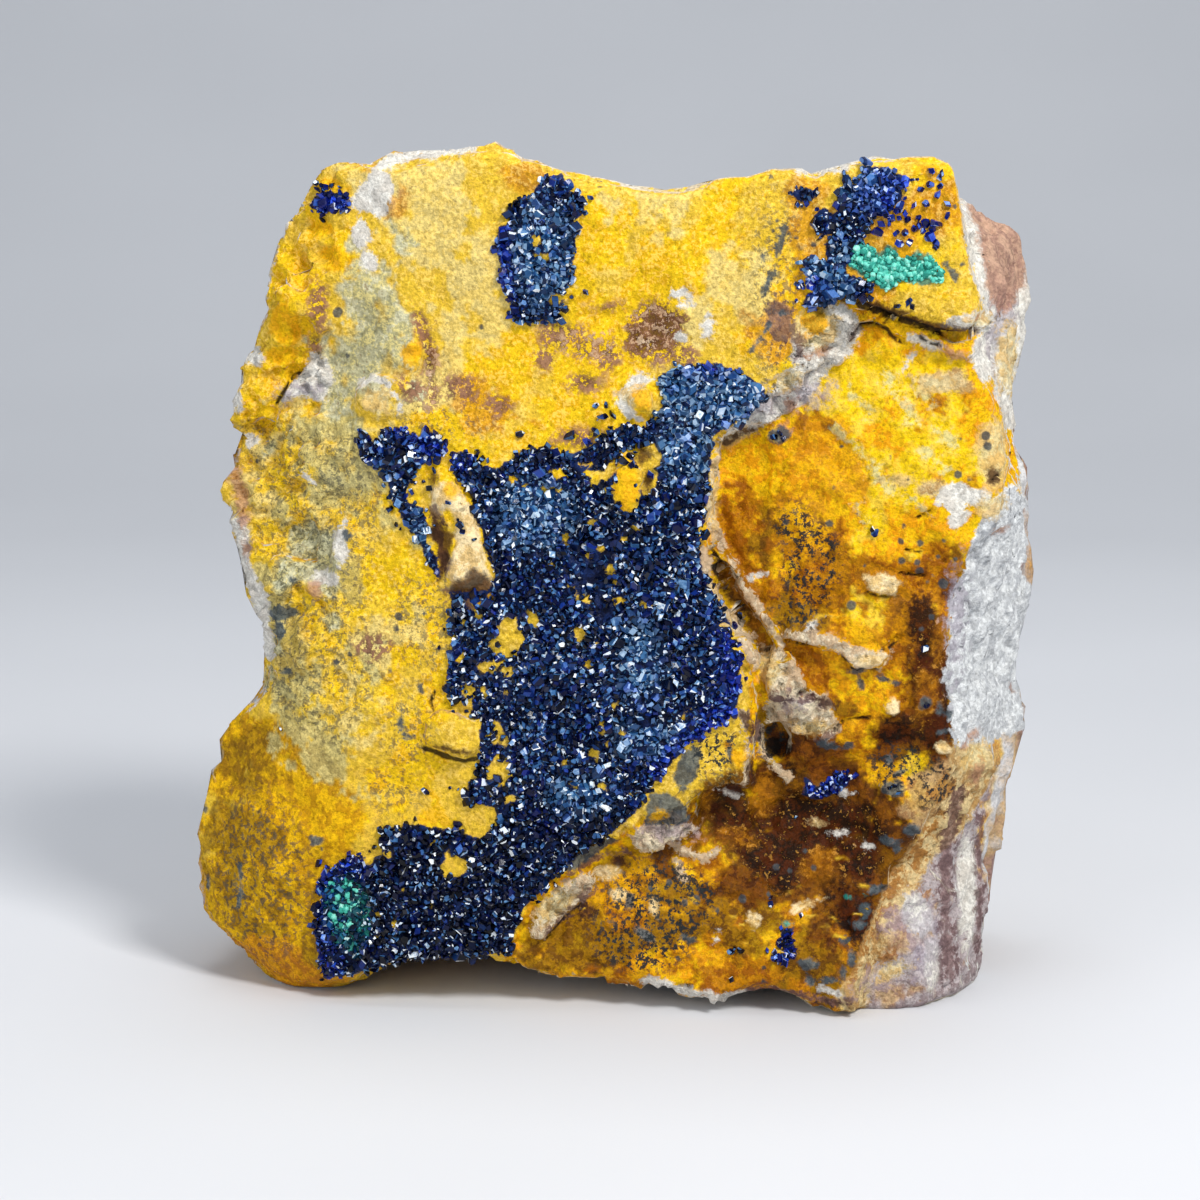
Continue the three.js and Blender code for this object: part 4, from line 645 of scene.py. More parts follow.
    # Dark navy ground under the crusts: partly the rock's blue stain and partly painted shade in the gaps
    # between crystals
    "navy_shade_under_crust": layer((10, 17, 46), (22, 40, 86), [under_crusts], soft=0.12, ragged=0.7, rough=0.3),
    "verdigris": layer((84, 190, 172), (30, 120, 108), [
        patch(*CORNER_GREEN), *TEAL, (20.2, 10.6, 0.6, 0.3), (27.3, 13.7, 0.5, 0.25),
        (29.2, 14, 0.3, 0.2),
    ], soft=0.2, ragged=0.8, cover=0.85, rough=0.7),
}
# The layers that may go on past the face, some way round the sides
AROUND_THE_SIDE = ("quartz", "ice", "lavender", "cream", "purple", "rust", "sandy", "sandy_ochre")

# The low relief, in millimetres out of the face: height, softness of the edge, shapes
RELIEF = [
    (-1.3, 0.5, [HOLLOW]), (0.5, 0.3, [INNER_RIDGE, OUTER_RIDGE]), (0.35, 0.25, [UPPER_RIDGE, *STRANDS]),
    (-1.6, 0.5, [PIT]), (-0.5, 0.9, [DEEP]), (0.5, 0.5, [RUBBLE, SLIVER]), (0.7, 0.35, [LOW_FRAGMENT]),
    (0.45, 0.35, [LEDGE_QUARTZ]), (0.25, 0.2, [STRIP, CHIP]), (0.7, 0.5, [LEFT_QUARTZ]),
    (0.8, 0.6, [(-26.8, 72, 2.6, 2.4)]), (0.5, 0.3, [SHEET, FLAKE]), (-0.9, 0.3, CRACKS),
    (0.5, 0.3, [OVAL, (-23, 76.6, 1.1, 1.8)]),
    (-0.5, 0.3, [vein(1, (-22.4, 81), (-21.2, 75), (-20.8, 71.6))]),
    (0.7, 0.35, [(32, 36.4, 0.9, 0.9), (37.8, 31.8, 1, 0.9), (-35, 49.4, 0.9, 0.9)]),
    (0.45, 0.2, [(24.6, 31.6, 1, 0.5), (32.4, 26.6, 1.4, 0.9), (34.6, 22, 1, 0.8), (28.4, 11, 1, 0.9),
                 (22.6, 6.4, 1, 0.7), (29.6, 14.4, 1.3, 0.6), (18.6, 67.8, 1.3, 0.9)]),
    (-0.6, 0.5, [(18, 24, 2, 3), (27, 20, 3, 2), COLUMN]),
]
# Where the surface is broken small, and where it is a crust of small grains
RUGGED = [
    RUBBLE, SLIVER, LEDGE_QUARTZ, BEVEL, LOW_FRAGMENT, LEFT_QUARTZ,
    vein(3, (-14, 3), (-4, 2), (6, 2), (14, 1), (26, 1)),
]
SUGARY = [SANDY_FOOT, SIDE_QUARTZ, TOP_STONE, INNER_RIDGE, OUTER_RIDGE, UPPER_RIDGE]


# Mesh helpers

def read_array(items, name, width, kind=np.float32):
    flat = np.empty(len(items) * width, kind)
    items.foreach_get(name, flat)
    return flat.reshape(-1, width)


def vertex_array(mesh):
    return read_array(mesh.vertices, "co", 3).astype(float)


def vertex_normals(mesh):
    return read_array(mesh.vertex_normals, "vector", 3).astype(float)


def set_vertices(mesh, points):
    mesh.vertices.foreach_set("co", points.astype(np.float32).ravel())
    mesh.update()


def add_field(mesh, name, values, domain="POINT"):
    attribute = mesh.attributes.new(name, "FLOAT", domain)
    attribute.data.foreach_set("value", np.asarray(values, np.float32))


def add_colours(mesh, name, colours):
    attribute = mesh.attributes.new(name, "FLOAT_COLOR", "POINT")
    attribute.data.foreach_set("color", colours.astype(np.float32).ravel())


def to_drawing(metres):
    return metres / MM - DRAWING_SHIFT


def to_row(drawing):
    return (drawing + DRAWING_SHIFT) * MM


def evaluated_mesh(obj):
    graph = bpy.context.evaluated_depsgraph_get()
    return bpy.data.meshes.new_from_object(obj.evaluated_get(graph))


def new_object(name, data):
    obj = bpy.data.objects.new(name, data)
    bpy.context.scene.collection.objects.link(obj)
    return obj


def soften(mesh, rounds, sharpness):
    """Smooths the flats of a mesh and keeps its ledges."""
    points = vertex_array(mesh)
    count = len(points)
    a, b = read_array(mesh.edges, "vertices", 2, np.int32).T
    for turn in range(rounds):
        if turn % 4 == 0:
            set_vertices(mesh, points)
            normals = vertex_normals(mesh)
            likeness = (normals[a] * normals[b]).sum(1)
            weight = np.exp(-(1 - likeness) * sharpness)
            total = np.bincount(a, weight, count) + np.bincount(b, weight, count) + 1e-6
        moved = np.empty_like(points)
        for axis in range(3):
            near = np.bincount(a, weight * points[b, axis], count)
            near += np.bincount(b, weight * points[a, axis], count)
            moved[:, axis] = near / total
        points = points + 0.5 * (moved - points)
    set_vertices(mesh, points)


def remeshed_copy(node, name, voxel):
    obj = new_object(name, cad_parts[node].data.copy())
    obj.data.materials.clear()
    remesh = obj.modifiers.new("remesh", "REMESH")
    remesh.mode = "VOXEL"
    remesh.voxel_size = voxel * MM
    remesh.use_smooth_shade = True
    mesh = evaluated_mesh(obj)
    obj.modifiers.clear()
    obj.data = mesh
    return obj


def thin_out(obj, triangles, share_on_face):
    """Reduces a mesh to a number of triangles, and keeps more of them on the face."""
    count = sum(len(p.vertices) - 2 for p in obj.data.polygons)
    off_face = np.nonzero(vertex_normals(obj.data)[:, 1] >= FACE_TILT)[0]
    group = obj.vertex_groups.new(name="thin")
    group.add(off_face.tolist(), 1.0, "REPLACE")
    thinner = obj.modifiers.new("thin", "DECIMATE")
    thinner.ratio = min(1.0, triangles / count)
    thinner.vertex_group = "thin"
    thinner.vertex_group_factor = share_on_face
    mesh = evaluated_mesh(obj)
    obj.modifiers.clear()
    obj.vertex_groups.clear()
    obj.data = mesh


# The rock

# The fine copy of the solid: its voxels in millimetres, its smoothing and its triangles
VOXEL = 0.40
SMOOTH_ROUNDS, LEDGE_SHARPNESS = 16, 14.0
ROCK_TRIANGLES = 196000
FACE_SHARE = 0.62
# The face fades in round this normal y, and over the first millimetres of depth
FACE_TILT = -0.35
FACE_BLEND = (FACE_TILT + 0.25, FACE_TILT - 0.2)
FACE_DEPTH = (0, -5)
BACK_BLEND = (0.3, 0.7)
# The crumbly left edge fades in over these x and z
CRUMBLY_ACROSS, CRUMBLY_UP = (-29, -36), (30, 46)
CRUST_EDGE, STEP_EDGE, ZONE_EDGE = 0.3, 0.3, 0.5
STEP_WIDTH = 1.2


class Zones:
    """Where a set of points lies on the rock, as weights from 0 to 1."""

    def __init__(self, points, normals):
        x, y, z = points.T
        self.x, self.z = x, z
        self.face = ramp(*FACE_BLEND, normals[:, 1]) * ramp(*FACE_DEPTH, y)
        self.back = ramp(*BACK_BLEND, normals[:, 1])
        self.side = np.clip(1 - self.face - self.back, 0, 1)
        self.crumbly = ramp(*CRUMBLY_ACROSS, x) * ramp(*CRUMBLY_UP, z)

    def inside(self, shapes, soft):
        return ramp(-soft, soft, joined(shapes, self.x, self.z)) * self.face

    def in_crust(self):
        return ramp(-CRUST_EDGE, CRUST_EDGE, deepest(ALL_CRUSTS, self.x, self.z)) * self.face

    def weights(self):
        """How much of each kind of ground a point has, under the names in ROUGHNESS."""
        bed_distance = signed_distance(BED, self.x, self.z)
        lower = ramp(STEP_EDGE, -STEP_EDGE, bed_distance)
        return {
            "upper face": self.face * (1 - self.crumbly) * (1 - lower),
            "sunken face": self.face * lower,
            "crumbly edge": self.crumbly * self.face,
            "sides": self.side,
            "back": self.back,
            "step": np.exp(-(bed_distance / STEP_WIDTH) ** 2) * self.face,
            "rugged": self.inside(RUGGED, ZONE_EDGE),
            "sugary": self.inside(SUGARY, ZONE_EDGE),
        }


# How far each kind of relief stands out on each kind of ground, in millimetres
ROUGHNESS = {
    "upper face": {"broad": 0.24, "medium": 0.2, "fine": 0.12, "chips": 0.18},
    "sunken face": {"broad": 0.5, "medium": 0.22, "breaks": 0.34, "chips": 0.22, "fine": 0.08},
    "crumbly edge": {"broad": 0.6, "knobs": 1.5, "medium": 0.6, "chips": 0.35, "fine": 0.25},
    "sides": {"breaks": 0.3, "chips": 0.2, "beds": 0.35, "streaks": 0.35},
    "back": {"breaks": 0.8, "chips": 0.35, "medium": 0.3, "fine": 0.1},
    "step": {"breaks": 0.4, "chips": 0.45, "fine": 0.16},
    "rugged": {"breaks": 0.4, "chips": 0.6, "fine": 0.25},
    "sugary": {"streaks": 0.3, "chips": 0.2, "fine": 0.15},
}
KNOB_BASE = 0.6
STREAK_STRETCH = np.array([1, 1, 0.3])
# The beds in the sides follow the depth, with a slope, a wave in millimetres and a frequency
BED_SLOPE, BED_WAVE, BED_FREQUENCY = 0.05, 1.2, 1.9
BEDS_ON_SIDE = (0.4, 0.9)
CRUST_SEAT = 0.3

# How far the left side swells out in millimetres, and from which height to which
LEFT_SWELL = [(1.4, 2, 38), (0.6, 52, 74)]
SWELL_ACROSS = (-36, -46)
SWELL_FOOT, SWELL_HEAD = 6, 8
# The relief fades out towards the ground
GROUND_BLEND = (0.0, 1.2)


def relief_kinds(points, side):
    """Each kind of relief, with its size in millimetres, from about -1 to 1."""
    depth = points[:, 1] + BED_SLOPE * points[:, 0] + BED_WAVE * smooth_noise(points, 14, 81)
    return {
        "broad": layered_noise(points, 5.5, 2, 11),
        "medium": layered_noise(points, 2.4, 2, 23),
        "fine": layered_noise(points, 1.0, 2, 37),
        "knobs": 1 - np.abs(layered_noise(points, 2.6, 2, 51)) - KNOB_BASE,
        "breaks": fracture(points, 3.2, 61),
        "chips": fracture(points, 1.5, 71),
        "streaks": layered_noise(points * STREAK_STRETCH, 1.5, 3, 91),
        "beds": np.sin(depth * BED_FREQUENCY) * ramp(*BEDS_ON_SIDE, side),
    }


def relief_height(points, zones):
    """How far each point moves out of the surface."""
    kinds = relief_kinds(points, zones.side)
    height = np.zeros(len(points))
    for ground, weight in zones.weights().items():
        height += weight * sum(amount * kinds[kind] for kind, amount in ROUGHNESS[ground].items())
    uneven = 1 + 0.35 * kinds["medium"] + 0.3 * kinds["chips"]
    for amount, soft, shapes in RELIEF:
        height += amount * zones.inside(shapes, soft) * uneven
    return height + zones.in_crust() * CRUST_SEAT


def roughen_rock(mesh):
    points = to_drawing(vertex_array(mesh))
    normals = vertex_normals(mesh)
    moved = points + normals * relief_height(points, Zones(points, normals))[:, None]
    x, _, z = points.T
    for reach, low, high in LEFT_SWELL:
        swell = ramp(*SWELL_ACROSS, x) * ramp(low, low + SWELL_FOOT, z) * ramp(high, high - SWELL_HEAD, z)
        moved[:, 0] -= reach * swell
    moved = points + (moved - points) * ramp(*GROUND_BLEND, z)[:, None]
    moved[:, 2] = np.maximum(moved[:, 2], 0)
    set_vertices(mesh, to_row(moved))


# The three clouds that break up the zones of the coat: their size, octaves, share and strength
CLOUD_SEEDS = (301, 317, 331)
CLOUD_SIZE, CLOUD_OCTAVES, CLOUD_KEEP, CLOUD_STRENGTH = 5.5, 5, 0.68, 0.5
# A zone counts as no deeper than this, so that its cloud can break holes in it
ZONE_DEPTH = 1.2
GROUND_ROUGH = 0.78
# Paint ends some way behind the front, and where the surface turns away or up
FRONT_LIMIT = -3.0
SIDE_LIMIT, SIDE_WAVE = 3, 7
FACE_TURN, SIDE_TURN, TOP_TURN = 0.35, 0.45, 0.8
DEPTH_FADE, TURN_FADE = 0.8, 6
# The pale chalk dust lies on the upper bed, above a slanting line across it
DUST_SLANT, DUST_DROP, DUST_RISE = 0.6, 24, (30, 44)
LEFT_ACROSS = (10, -34)


def store_coat(mesh, points, reach):
    """Blends the zones of the coat into two colours and one roughness for each vertex."""
    x, z = points[:, 0], points[:, 2]
    clouds = [CLOUD_STRENGTH * layered_noise(points, CLOUD_SIZE, CLOUD_OCTAVES, seed, CLOUD_KEEP)
              for seed in CLOUD_SEEDS]
    light, dark = [np.tile(srgb(*colour), (len(points), 1)) for colour in GROUND_COAT]
    rough = np.full(len(points), GROUND_ROUGH)
    for zone in COAT:
        field = np.minimum(joined(zone["shapes"], x, z), ZONE_DEPTH)
        field = np.minimum(field + clouds[zone["cloud"]] * zone["ragged"], reach)
        cover = ramp(-zone["soft"], zone["soft"], field) * zone["cover"]
        for colour, shade in zip((light, dark), zone["colours"]):
            colour += cover[:, None] * (np.array(shade) - colour)
        rough += cover * (zone["rough"] - rough)
    add_colours(mesh, "coat", light)
    add_colours(mesh, "coat_mottle", dark)
    add_field(mesh, "coat_rough", rough)
    on_bed = ramp(-ZONE_EDGE, ZONE_EDGE, signed_distance(BED, x, z))
    add_field(mesh, "dusty", on_bed * ramp(*DUST_RISE, z + DUST_SLANT * x + DUST_DROP))


def paint_reach(y, normals, limit, turn):
    """How far inside its limits paint is, by the depth and by how the surface turns away."""
    return np.minimum((limit - y) * DEPTH_FADE, (turn - normals[:, 1]) * TURN_FADE)


def store_zones(mesh):
    """Stores each paint layer's distance on the mesh, for the material to read."""
    points = to_drawing(vertex_array(mesh))
    normals = vertex_normals(mesh)
    x, y, z = points.T
    reach = paint_reach(y, normals, FRONT_LIMIT, FACE_TURN)
    reach = np.minimum(reach, (TOP_TURN - normals[:, 2]) * TURN_FADE)
    side_limit = SIDE_LIMIT + SIDE_WAVE * layered_noise(points, 9, 3, 361)
    side_reach = paint_reach(y, normals, side_limit, SIDE_TURN)
    for name, paint in PAINT.items():
        limit = side_reach if name in AROUND_THE_SIDE else reach
        add_field(mesh, "paint_" + name, np.minimum(joined(paint["shapes"], x, z), limit))
    store_coat(mesh, points, reach)
    zones = Zones(points, normals)
    rugged = ramp(-ZONE_EDGE, ZONE_EDGE, joined(RUGGED, x, z))
    add_field(mesh, "rugged", np.maximum(rugged, zones.crumbly * 0.6))
    add_field(mesh, "flank", np.clip(zones.side * 1.2, 0, 1))
    add_field(mesh, "behind", zones.back)
    add_field(mesh, "left", ramp(*LEFT_ACROSS, x))


def make_rock():
    rock = remeshed_copy("matrix_rock", "rock", VOXEL)
    soften(rock.data, SMOOTH_ROUNDS, LEDGE_SHARPNESS)
    roughen_rock(rock.data)
    thin_out(rock, ROCK_TRIANGLES, FACE_SHARE)
    points = vertex_array(rock.data)
    points[:, 2] = np.maximum(points[:, 2], 0)
    set_vertices(rock.data, points)
    store_zones(rock.data)
    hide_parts("matrix_rock")
    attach(rock, "root")
    return rock


# Crystals

def block_template(seed, sides, shoulder, top):
    """A short crystal with uneven sides and a tilted flat on top: unit vertices and faces."""
    rng = np.random.default_rng(seed)
    angles = 2 * math.pi * (np.arange(sides) + rng.uniform(-0.22, 0.22, sides)) / sides
    radii = rng.uniform(0.82, 1.12, sides)
    ring = np.stack([np.cos(angles) * radii, np.sin(angles) * radii], axis=1)
    # The foot, the shoulder and the top, each with its height, width and tilt
    levels = [(-1.0, 0.85, 0.0), (shoulder, 1.0, 0.25), (1.0, top, 0.4)]
    vertices = []
    for height, scale, tilt in levels:
        lean = rng.uniform(-tilt, tilt, 2)
        vertices += [(x, y, height + x * lean[0] + y * lean[1]) for x, y in ring * scale]
    faces = [tuple(reversed(range(sides)))]
    for level in range(len(levels) - 1):
        for i in range(sides):
            j = (i + 1) % sides
            low, high = level * sides, (level + 1) * sides
            faces.append((low + i, low + j, high + j, high + i))
    faces.append(tuple(range(2 * sides, 3 * sides)))
    return np.array(vertices), faces


# The kinds of crystal: number of sides, height of the shoulder and width of the top
CRYSTAL_KINDS = [
    (5, 0.35, 0.55), (4, 0.45, 0.66), (6, 0.2, 0.6), (4, 0.1, 0.5), (5, 0.6, 0.74), (4, 0.7, 0.8),
]
TEMPLATES = [block_template(seed, *kind) for seed, kind in enumerate(CRYSTAL_KINDS, 1)]
# Of a crystal's size: its half width and half length. Its depth is a share of its width.
CRYSTAL_WIDTH, CRYSTAL_LENGTH = (0.42, 0.62), (0.32, 0.6)
CRYSTAL_DEPTH = (0.5, 1.0)
CRYSTAL_LEAN, CRYSTAL_RISE = 0.5, 0.35
# No crystal stands below this height, or where the ground looks up more than this
LOWEST_CRYSTAL, HIGHEST_LOOK = 0.6, 0.75


def joined_mesh(name, parts):
    """One object from (vertices, faces) pairs in drawing millimetres."""
    vertices, loops, totals = [], [], []
    base = 0
    for points, faces in parts:
        vertices.append(points)
        for face in faces:
            loops.extend(base + i for i in face)
            totals.append(len(face))
        base += len(points)
    points = np.concatenate(vertices)
    points[:, 2] = np.maximum(points[:, 2], 0)
    mesh = bpy.data.meshes.new(name)
    mesh.vertices.add(len(points))
    mesh.vertices.foreach_set("co", to_row(points).astype(np.float32).ravel())
    mesh.loops.add(len(loops))
    mesh.loops.foreach_set("vertex_index", loops)
    mesh.polygons.add(len(totals))
    starts = np.concatenate([[0], np.cumsum(totals)[:-1]])
    mesh.polygons.foreach_set("loop_start", starts.astype(np.int32))
    mesh.update()
    mesh.validate()
    return new_object(name, mesh)


def turned_axes(direction, spin):
    """Three unit axes whose third is the direction, turned round it by spin."""
    direction = direction / np.linalg.norm(direction)
    helper = np.array([0.0, 0.0, 1.0]) if abs(direction[2]) < 0.9 else np.array([1.0, 0.0, 0.0])
    u = np.cross(helper, direction)
    u /= np.linalg.norm(u)
    v = np.cross(direction, u)
    return np.stack([
        u * math.cos(spin) + v * math.sin(spin),
        v * math.cos(spin) - u * math.sin(spin),
        direction,
    ])


class Ground:
    """The rock's finished surface, for setting things on its face."""

    IN_FRONT = -60.0

    def __init__(self, rock):
        self.tree = BVHTree.FromObject(rock, bpy.context.evaluated_depsgraph_get())

    def at(self, x, z):
        start = Vector(to_row(np.array([x, self.IN_FRONT, z])))
        spot, normal, _, _ = self.tree.ray_cast(start, Vector((0, 1, 0)))
        if spot is None:
            return None, None
        return to_drawing(np.array(spot)), np.array(normal)


def crystal(rng, spot, normal, size):
    template, faces = TEMPLATES[rng.integers(len(TEMPLATES))]
    facing = normal + rng.normal(0, CRYSTAL_LEAN, 3)
    axes = turned_axes(facing, rng.uniform(0, 2 * math.pi))
    width = size * rng.uniform(*CRYSTAL_WIDTH)
    depth = width * rng.uniform(*CRYSTAL_DEPTH)
    length = size * rng.uniform(*CRYSTAL_LENGTH)
    scaled = template * np.array([width, depth, length])
    return scaled @ axes + spot + axes[2] * length * CRYSTAL_RISE, faces


# A crust's crystals: how far apart, how uneven their places are, and how large, in millimetres
CRUST_SPACING, CRUST_JITTER, CRUST_SIZE = 0.48, 0.42, 0.8
CRUST_MARGIN = 1.5
SIZE_SPREAD, SIZE_LIMITS = (-0.06, 0.32), (0.5, 1.7)
# The chance of a crystal inside a crust, on the column, just past the edge and where it is thin
INSIDE_CHANCE, COLUMN_CHANCE, STRAY_CHANCE, THIN_CHANCE = 0.985, 0.3, 0.2, 0.35
STRAY_REACH = 0.3
THIN_ABOVE = 0.85


def crust_places(rng, outline, seed):
    """Uneven places over an outline, thinned at its edge and left out of its gaps."""
    points = np.asarray(outline, float)
    low, high = points.min(0) - CRUST_MARGIN, points.max(0) + CRUST_MARGIN
    columns, rows = ((high - low) / CRUST_SPACING).astype(int)
    gx, gz = [grid.ravel() for grid in np.meshgrid(np.arange(columns), np.arange(rows))]
    x = low[0] + (gx + 0.5 * (gz % 2) + rng.uniform(-CRUST_JITTER, CRUST_JITTER, gx.size)) * CRUST_SPACING
    z = low[1] + (gz + rng.uniform(-CRUST_JITTER, CRUST_JITTER, gx.size)) * CRUST_SPACING
    place = np.stack([x, np.zeros_like(x), z], axis=1)
    distance = signed_distance(outline, x, z) + 0.6 * smooth_noise(place, 1.8, seed)
    distance = np.minimum(distance, 0.35 * smooth_noise(place, 1.4, seed + 5) - joined(GAPS, x, z))
    chance = np.where(distance > 0, INSIDE_CHANCE, STRAY_CHANCE * np.exp(distance / STRAY_REACH))
    chance = np.where(COLUMN(x, z) > 0, COLUMN_CHANCE, chance)
    bare = smooth_noise(place, 1.3, seed + 3) + 0.7 * smooth_noise(place, 7, seed + 4)
    chance = chance * np.where(bare > THIN_ABOVE, THIN_CHANCE, 1)
    chosen = rng.uniform(size=x.size) < chance
    return x[chosen], z[chosen], 1 + 0.16 * smooth_noise(place[chosen], 5, seed + 9)


# The lower a crystal is, the darker its facets, except for the painted glints
DARKER, DARKER_HEIGHTS, PAINTED_GLINTS_ABOVE = 0.16, (32, 20), 0.85
OWN_TONE, FACET_TONE = 0.22, 0.78


def colour_crystals(mesh, rng, parts, x, z):
    """Gives each facet its own tone, and each crystal how vivid and how green it is."""
    counts = np.array([len(faces) for _, faces in parts])
    own = np.repeat(rng.uniform(size=len(parts)), counts)
    facet = rng.uniform(size=counts.sum())
    darker = np.repeat(DARKER * ramp(*DARKER_HEIGHTS, z), counts)
    # The highest tones are painted glints, which the material turns near-white, so they are not darkened
    tone = OWN_TONE * own + FACET_TONE * facet - darker * (facet < PAINTED_GLINTS_ABOVE)
    vivid = ramp(-1.5, 1.2, joined(VIVID, x, z)) * 0.75 + rng.normal(0, 0.2, len(x))
    teal = ramp(-0.8, 1.6, joined(TEAL, x, z)) * rng.uniform(0.2, 1, len(x))
    milky = ramp(-1.5, 1, joined(MILKY, x, z)) * rng.uniform(0.35, 1, len(x))
    add_field(mesh, "tone", tone, "FACE")
    for name, values in [("vivid", np.clip(vivid, 0, 1)), ("milky", milky), ("teal", teal)]:
        add_field(mesh, name, np.repeat(values, counts), "FACE")


def set_crystals(name, node, ground, seed, x, z, sizes):
    rng = np.random.default_rng(seed)
    parts, kept = [], []
    for i in range(len(x)):
        spot, normal = ground.at(x[i], z[i])
        if spot is None or spot[2] < LOWEST_CRYSTAL or normal[2] > HIGHEST_LOOK:
            continue
        parts.append(crystal(rng, spot, normal, sizes[i]))
        kept.append(i)
    obj = joined_mesh(name, parts)
    colour_crystals(obj.data, rng, parts, x[kept], z[kept])
    obj.data.shade_flat()
    if node:
        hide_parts(node)
    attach(obj, "root")
    return obj


def druse(name, node, outline, ground, seed, singles=()):
    """One crust of crystals over an outline, and single crystals beside it."""
    rng = np.random.default_rng(seed)
    x, z, swell = crust_places(rng, outline, seed)
    sizes = CRUST_SIZE * swell * np.clip(np.exp(rng.normal(*SIZE_SPREAD, len(x))), *SIZE_LIMITS)
    if singles:
        extra = np.array(singles)
        x, z = np.append(x, extra[:, 0]), np.append(z, extra[:, 1])
        sizes = np.append(sizes, extra[:, 2])
    return set_crystals(name, node, ground, seed + 50, x, z, sizes)


# Crystals that stand alone: x, z and size
CORNER_SINGLES = [
    (32.9, 96.7, 0.6), (33.5, 96.8, 0.5), (35.1, 97.7, 1), (36.2, 97.4, 1), (35.9, 96.9, 0.9),
    (34, 95.6, 0.9), (35.1, 96.2, 0.8), (36, 95.9, 0.8), (35.8, 95.1, 1.1), (37, 94, 1),
    (36.9, 92.7, 0.9), (35.9, 91.9, 1.4), (34.5, 94.1, 0.8), (33.1, 93.9, 0.9), (31.7, 94, 1),
    (31.5, 93.4, 0.9), (32.2, 93.1, 0.8), (30.8, 92.6, 0.9), (31.6, 92.6, 0.7), (32.6, 92.4, 0.9),
    (33.7, 92.5, 0.8), (29.7, 91.8, 1), (30.5, 91.9, 0.7), (29.4, 90.9, 1.1), (31.2, 90.8, 0.8),
    (32.2, 91, 0.9), (33.2, 91.3, 1), (33.8, 91.7, 0.9), (34.7, 91.8, 1.2), (35.3, 91.3, 1),
    (34.2, 91, 0.8), (35.1, 90.5, 1.2), (35.6, 89.7, 1.1), (35.6, 89.2, 0.8), (31.6, 89.8, 0.9),
    (32.8, 89.9, 0.9), (31.6, 82.8, 1), (32.6, 83.1, 1), (33.3, 82.8, 1), (32.2, 95.5, 0.7),
    (32.1, 94.7, 0.7), (20.3, 83.2, 0.5),
]
MAIN_SINGLES = [
    (-2.1, 71.2, 0.9), (-1, 71.2, 0.9), (-1.3, 70.1, 1.1), (-0.3, 70.3, 1), (-2, 69.6, 0.4),
    (-0.4, 68.8, 0.8), (-2.2, 68, 0.8), (-5.3, 67.6, 1.1), (-3.2, 67.2, 1.1), (-10.9, 67.9, 1.1),
    (4.1, 63.4, 1.2), (0.4, 64.4, 0.7), (-22.9, 62.2, 0.6), (-22, 62.2, 0.6), (-21.3, 61.5, 0.8),
    (-23.3, 61, 0.9), (-19, 60.2, 0.7), (-17.7, 57.7, 0.9), (-17.4, 56.9, 0.8), (-16, 56, 0.6),
    (-17.9, 58.2, 0.5), (-21.6, 59, 0.6), (-19.7, 45.2, 0.4), (-20.2, 43.2, 0.5), (-13.4, 43.6, 0.8),
    (-11.6, 42.8, 1), (-9.4, 44, 0.7), (-18.6, 47.2, 0.5),
]
SCATTERED = [
    (29.6, 57, 1.1), (29.4, 57.3, 0.7), (35.4, 43.5, 0.9), (35.9, 36.8, 0.8), (21.4, 22, 0.5),
    (18.3, 13.6, 0.7), (18.2, 12.9, 0.8), (21.7, 11.6, 0.6), (13.7, 4.2, 0.7), (13.7, 7.4, 0.8),
    (14, 7.9, 0.7), (14.8, 7.8, 0.8), (15.4, 7.5, 0.7), (-22.3, 26, 0.8), (-21.8, 25.7, 0.6),
    (-19.2, 26.4, 0.5), (-18.2, 26.3, 0.5), (-39.4, 32.3, 0.5), (18.2, 67.6, 0.8), (18.8, 68, 0.8),
    (19.2, 67.4, 0.8), (32, 26.6, 0.7), (32.6, 26.9, 0.8), (33, 26.2, 0.7),
]


# Green crumbs

def lump_template():
    """A ball of 80 triangles."""
    phi = (1 + 5 ** 0.5) / 2
    corners = [(-1, phi, 0), (1, phi, 0), (-1, -phi, 0), (1, -phi, 0), (0, -1, phi), (0, 1, phi),
               (0, -1, -phi), (0, 1, -phi), (phi, 0, -1), (phi, 0, 1), (-phi, 0, -1), (-phi, 0, 1)]
    faces = [(0, 11, 5), (0, 5, 1), (0, 1, 7), (0, 7, 10), (0, 10, 11), (1, 5, 9), (5, 11, 4),
             (11, 10, 2), (10, 7, 6), (7, 1, 8), (3, 9, 4), (3, 4, 2), (3, 2, 6), (3, 6, 8),
             (3, 8, 9), (4, 9, 5), (2, 4, 11), (6, 2, 10), (8, 6, 7), (9, 8, 1)]
    points = [np.array(c, float) / math.hypot(1, phi) for c in corners]
    split = {}
    smaller = []

    def middle(i, j):
        key = (min(i, j), max(i, j))
        if key not in split:
            half = points[i] + points[j]
            points.append(half / np.linalg.norm(half))
            split[key] = len(points) - 1
        return split[key]

    for a, b, c in faces:
        ab, bc, ca = middle(a, b), middle(b, c), middle(c, a)
        smaller += [(a, ab, ca), (b, bc, ab), (c, ca, bc), (ab, bc, ca)]
    return np.array(points), smaller


# Of a crumb's size: its radius. Of its radius: how far it stands out. Then how uneven it is.
CRUMB_RADIUS, CRUMB_RISE = (0.5, 1.3), (0.1, 1.4)
CRUMB_SQUASH, CRUMB_BUMPS = (0.7, 1.3), 0.45


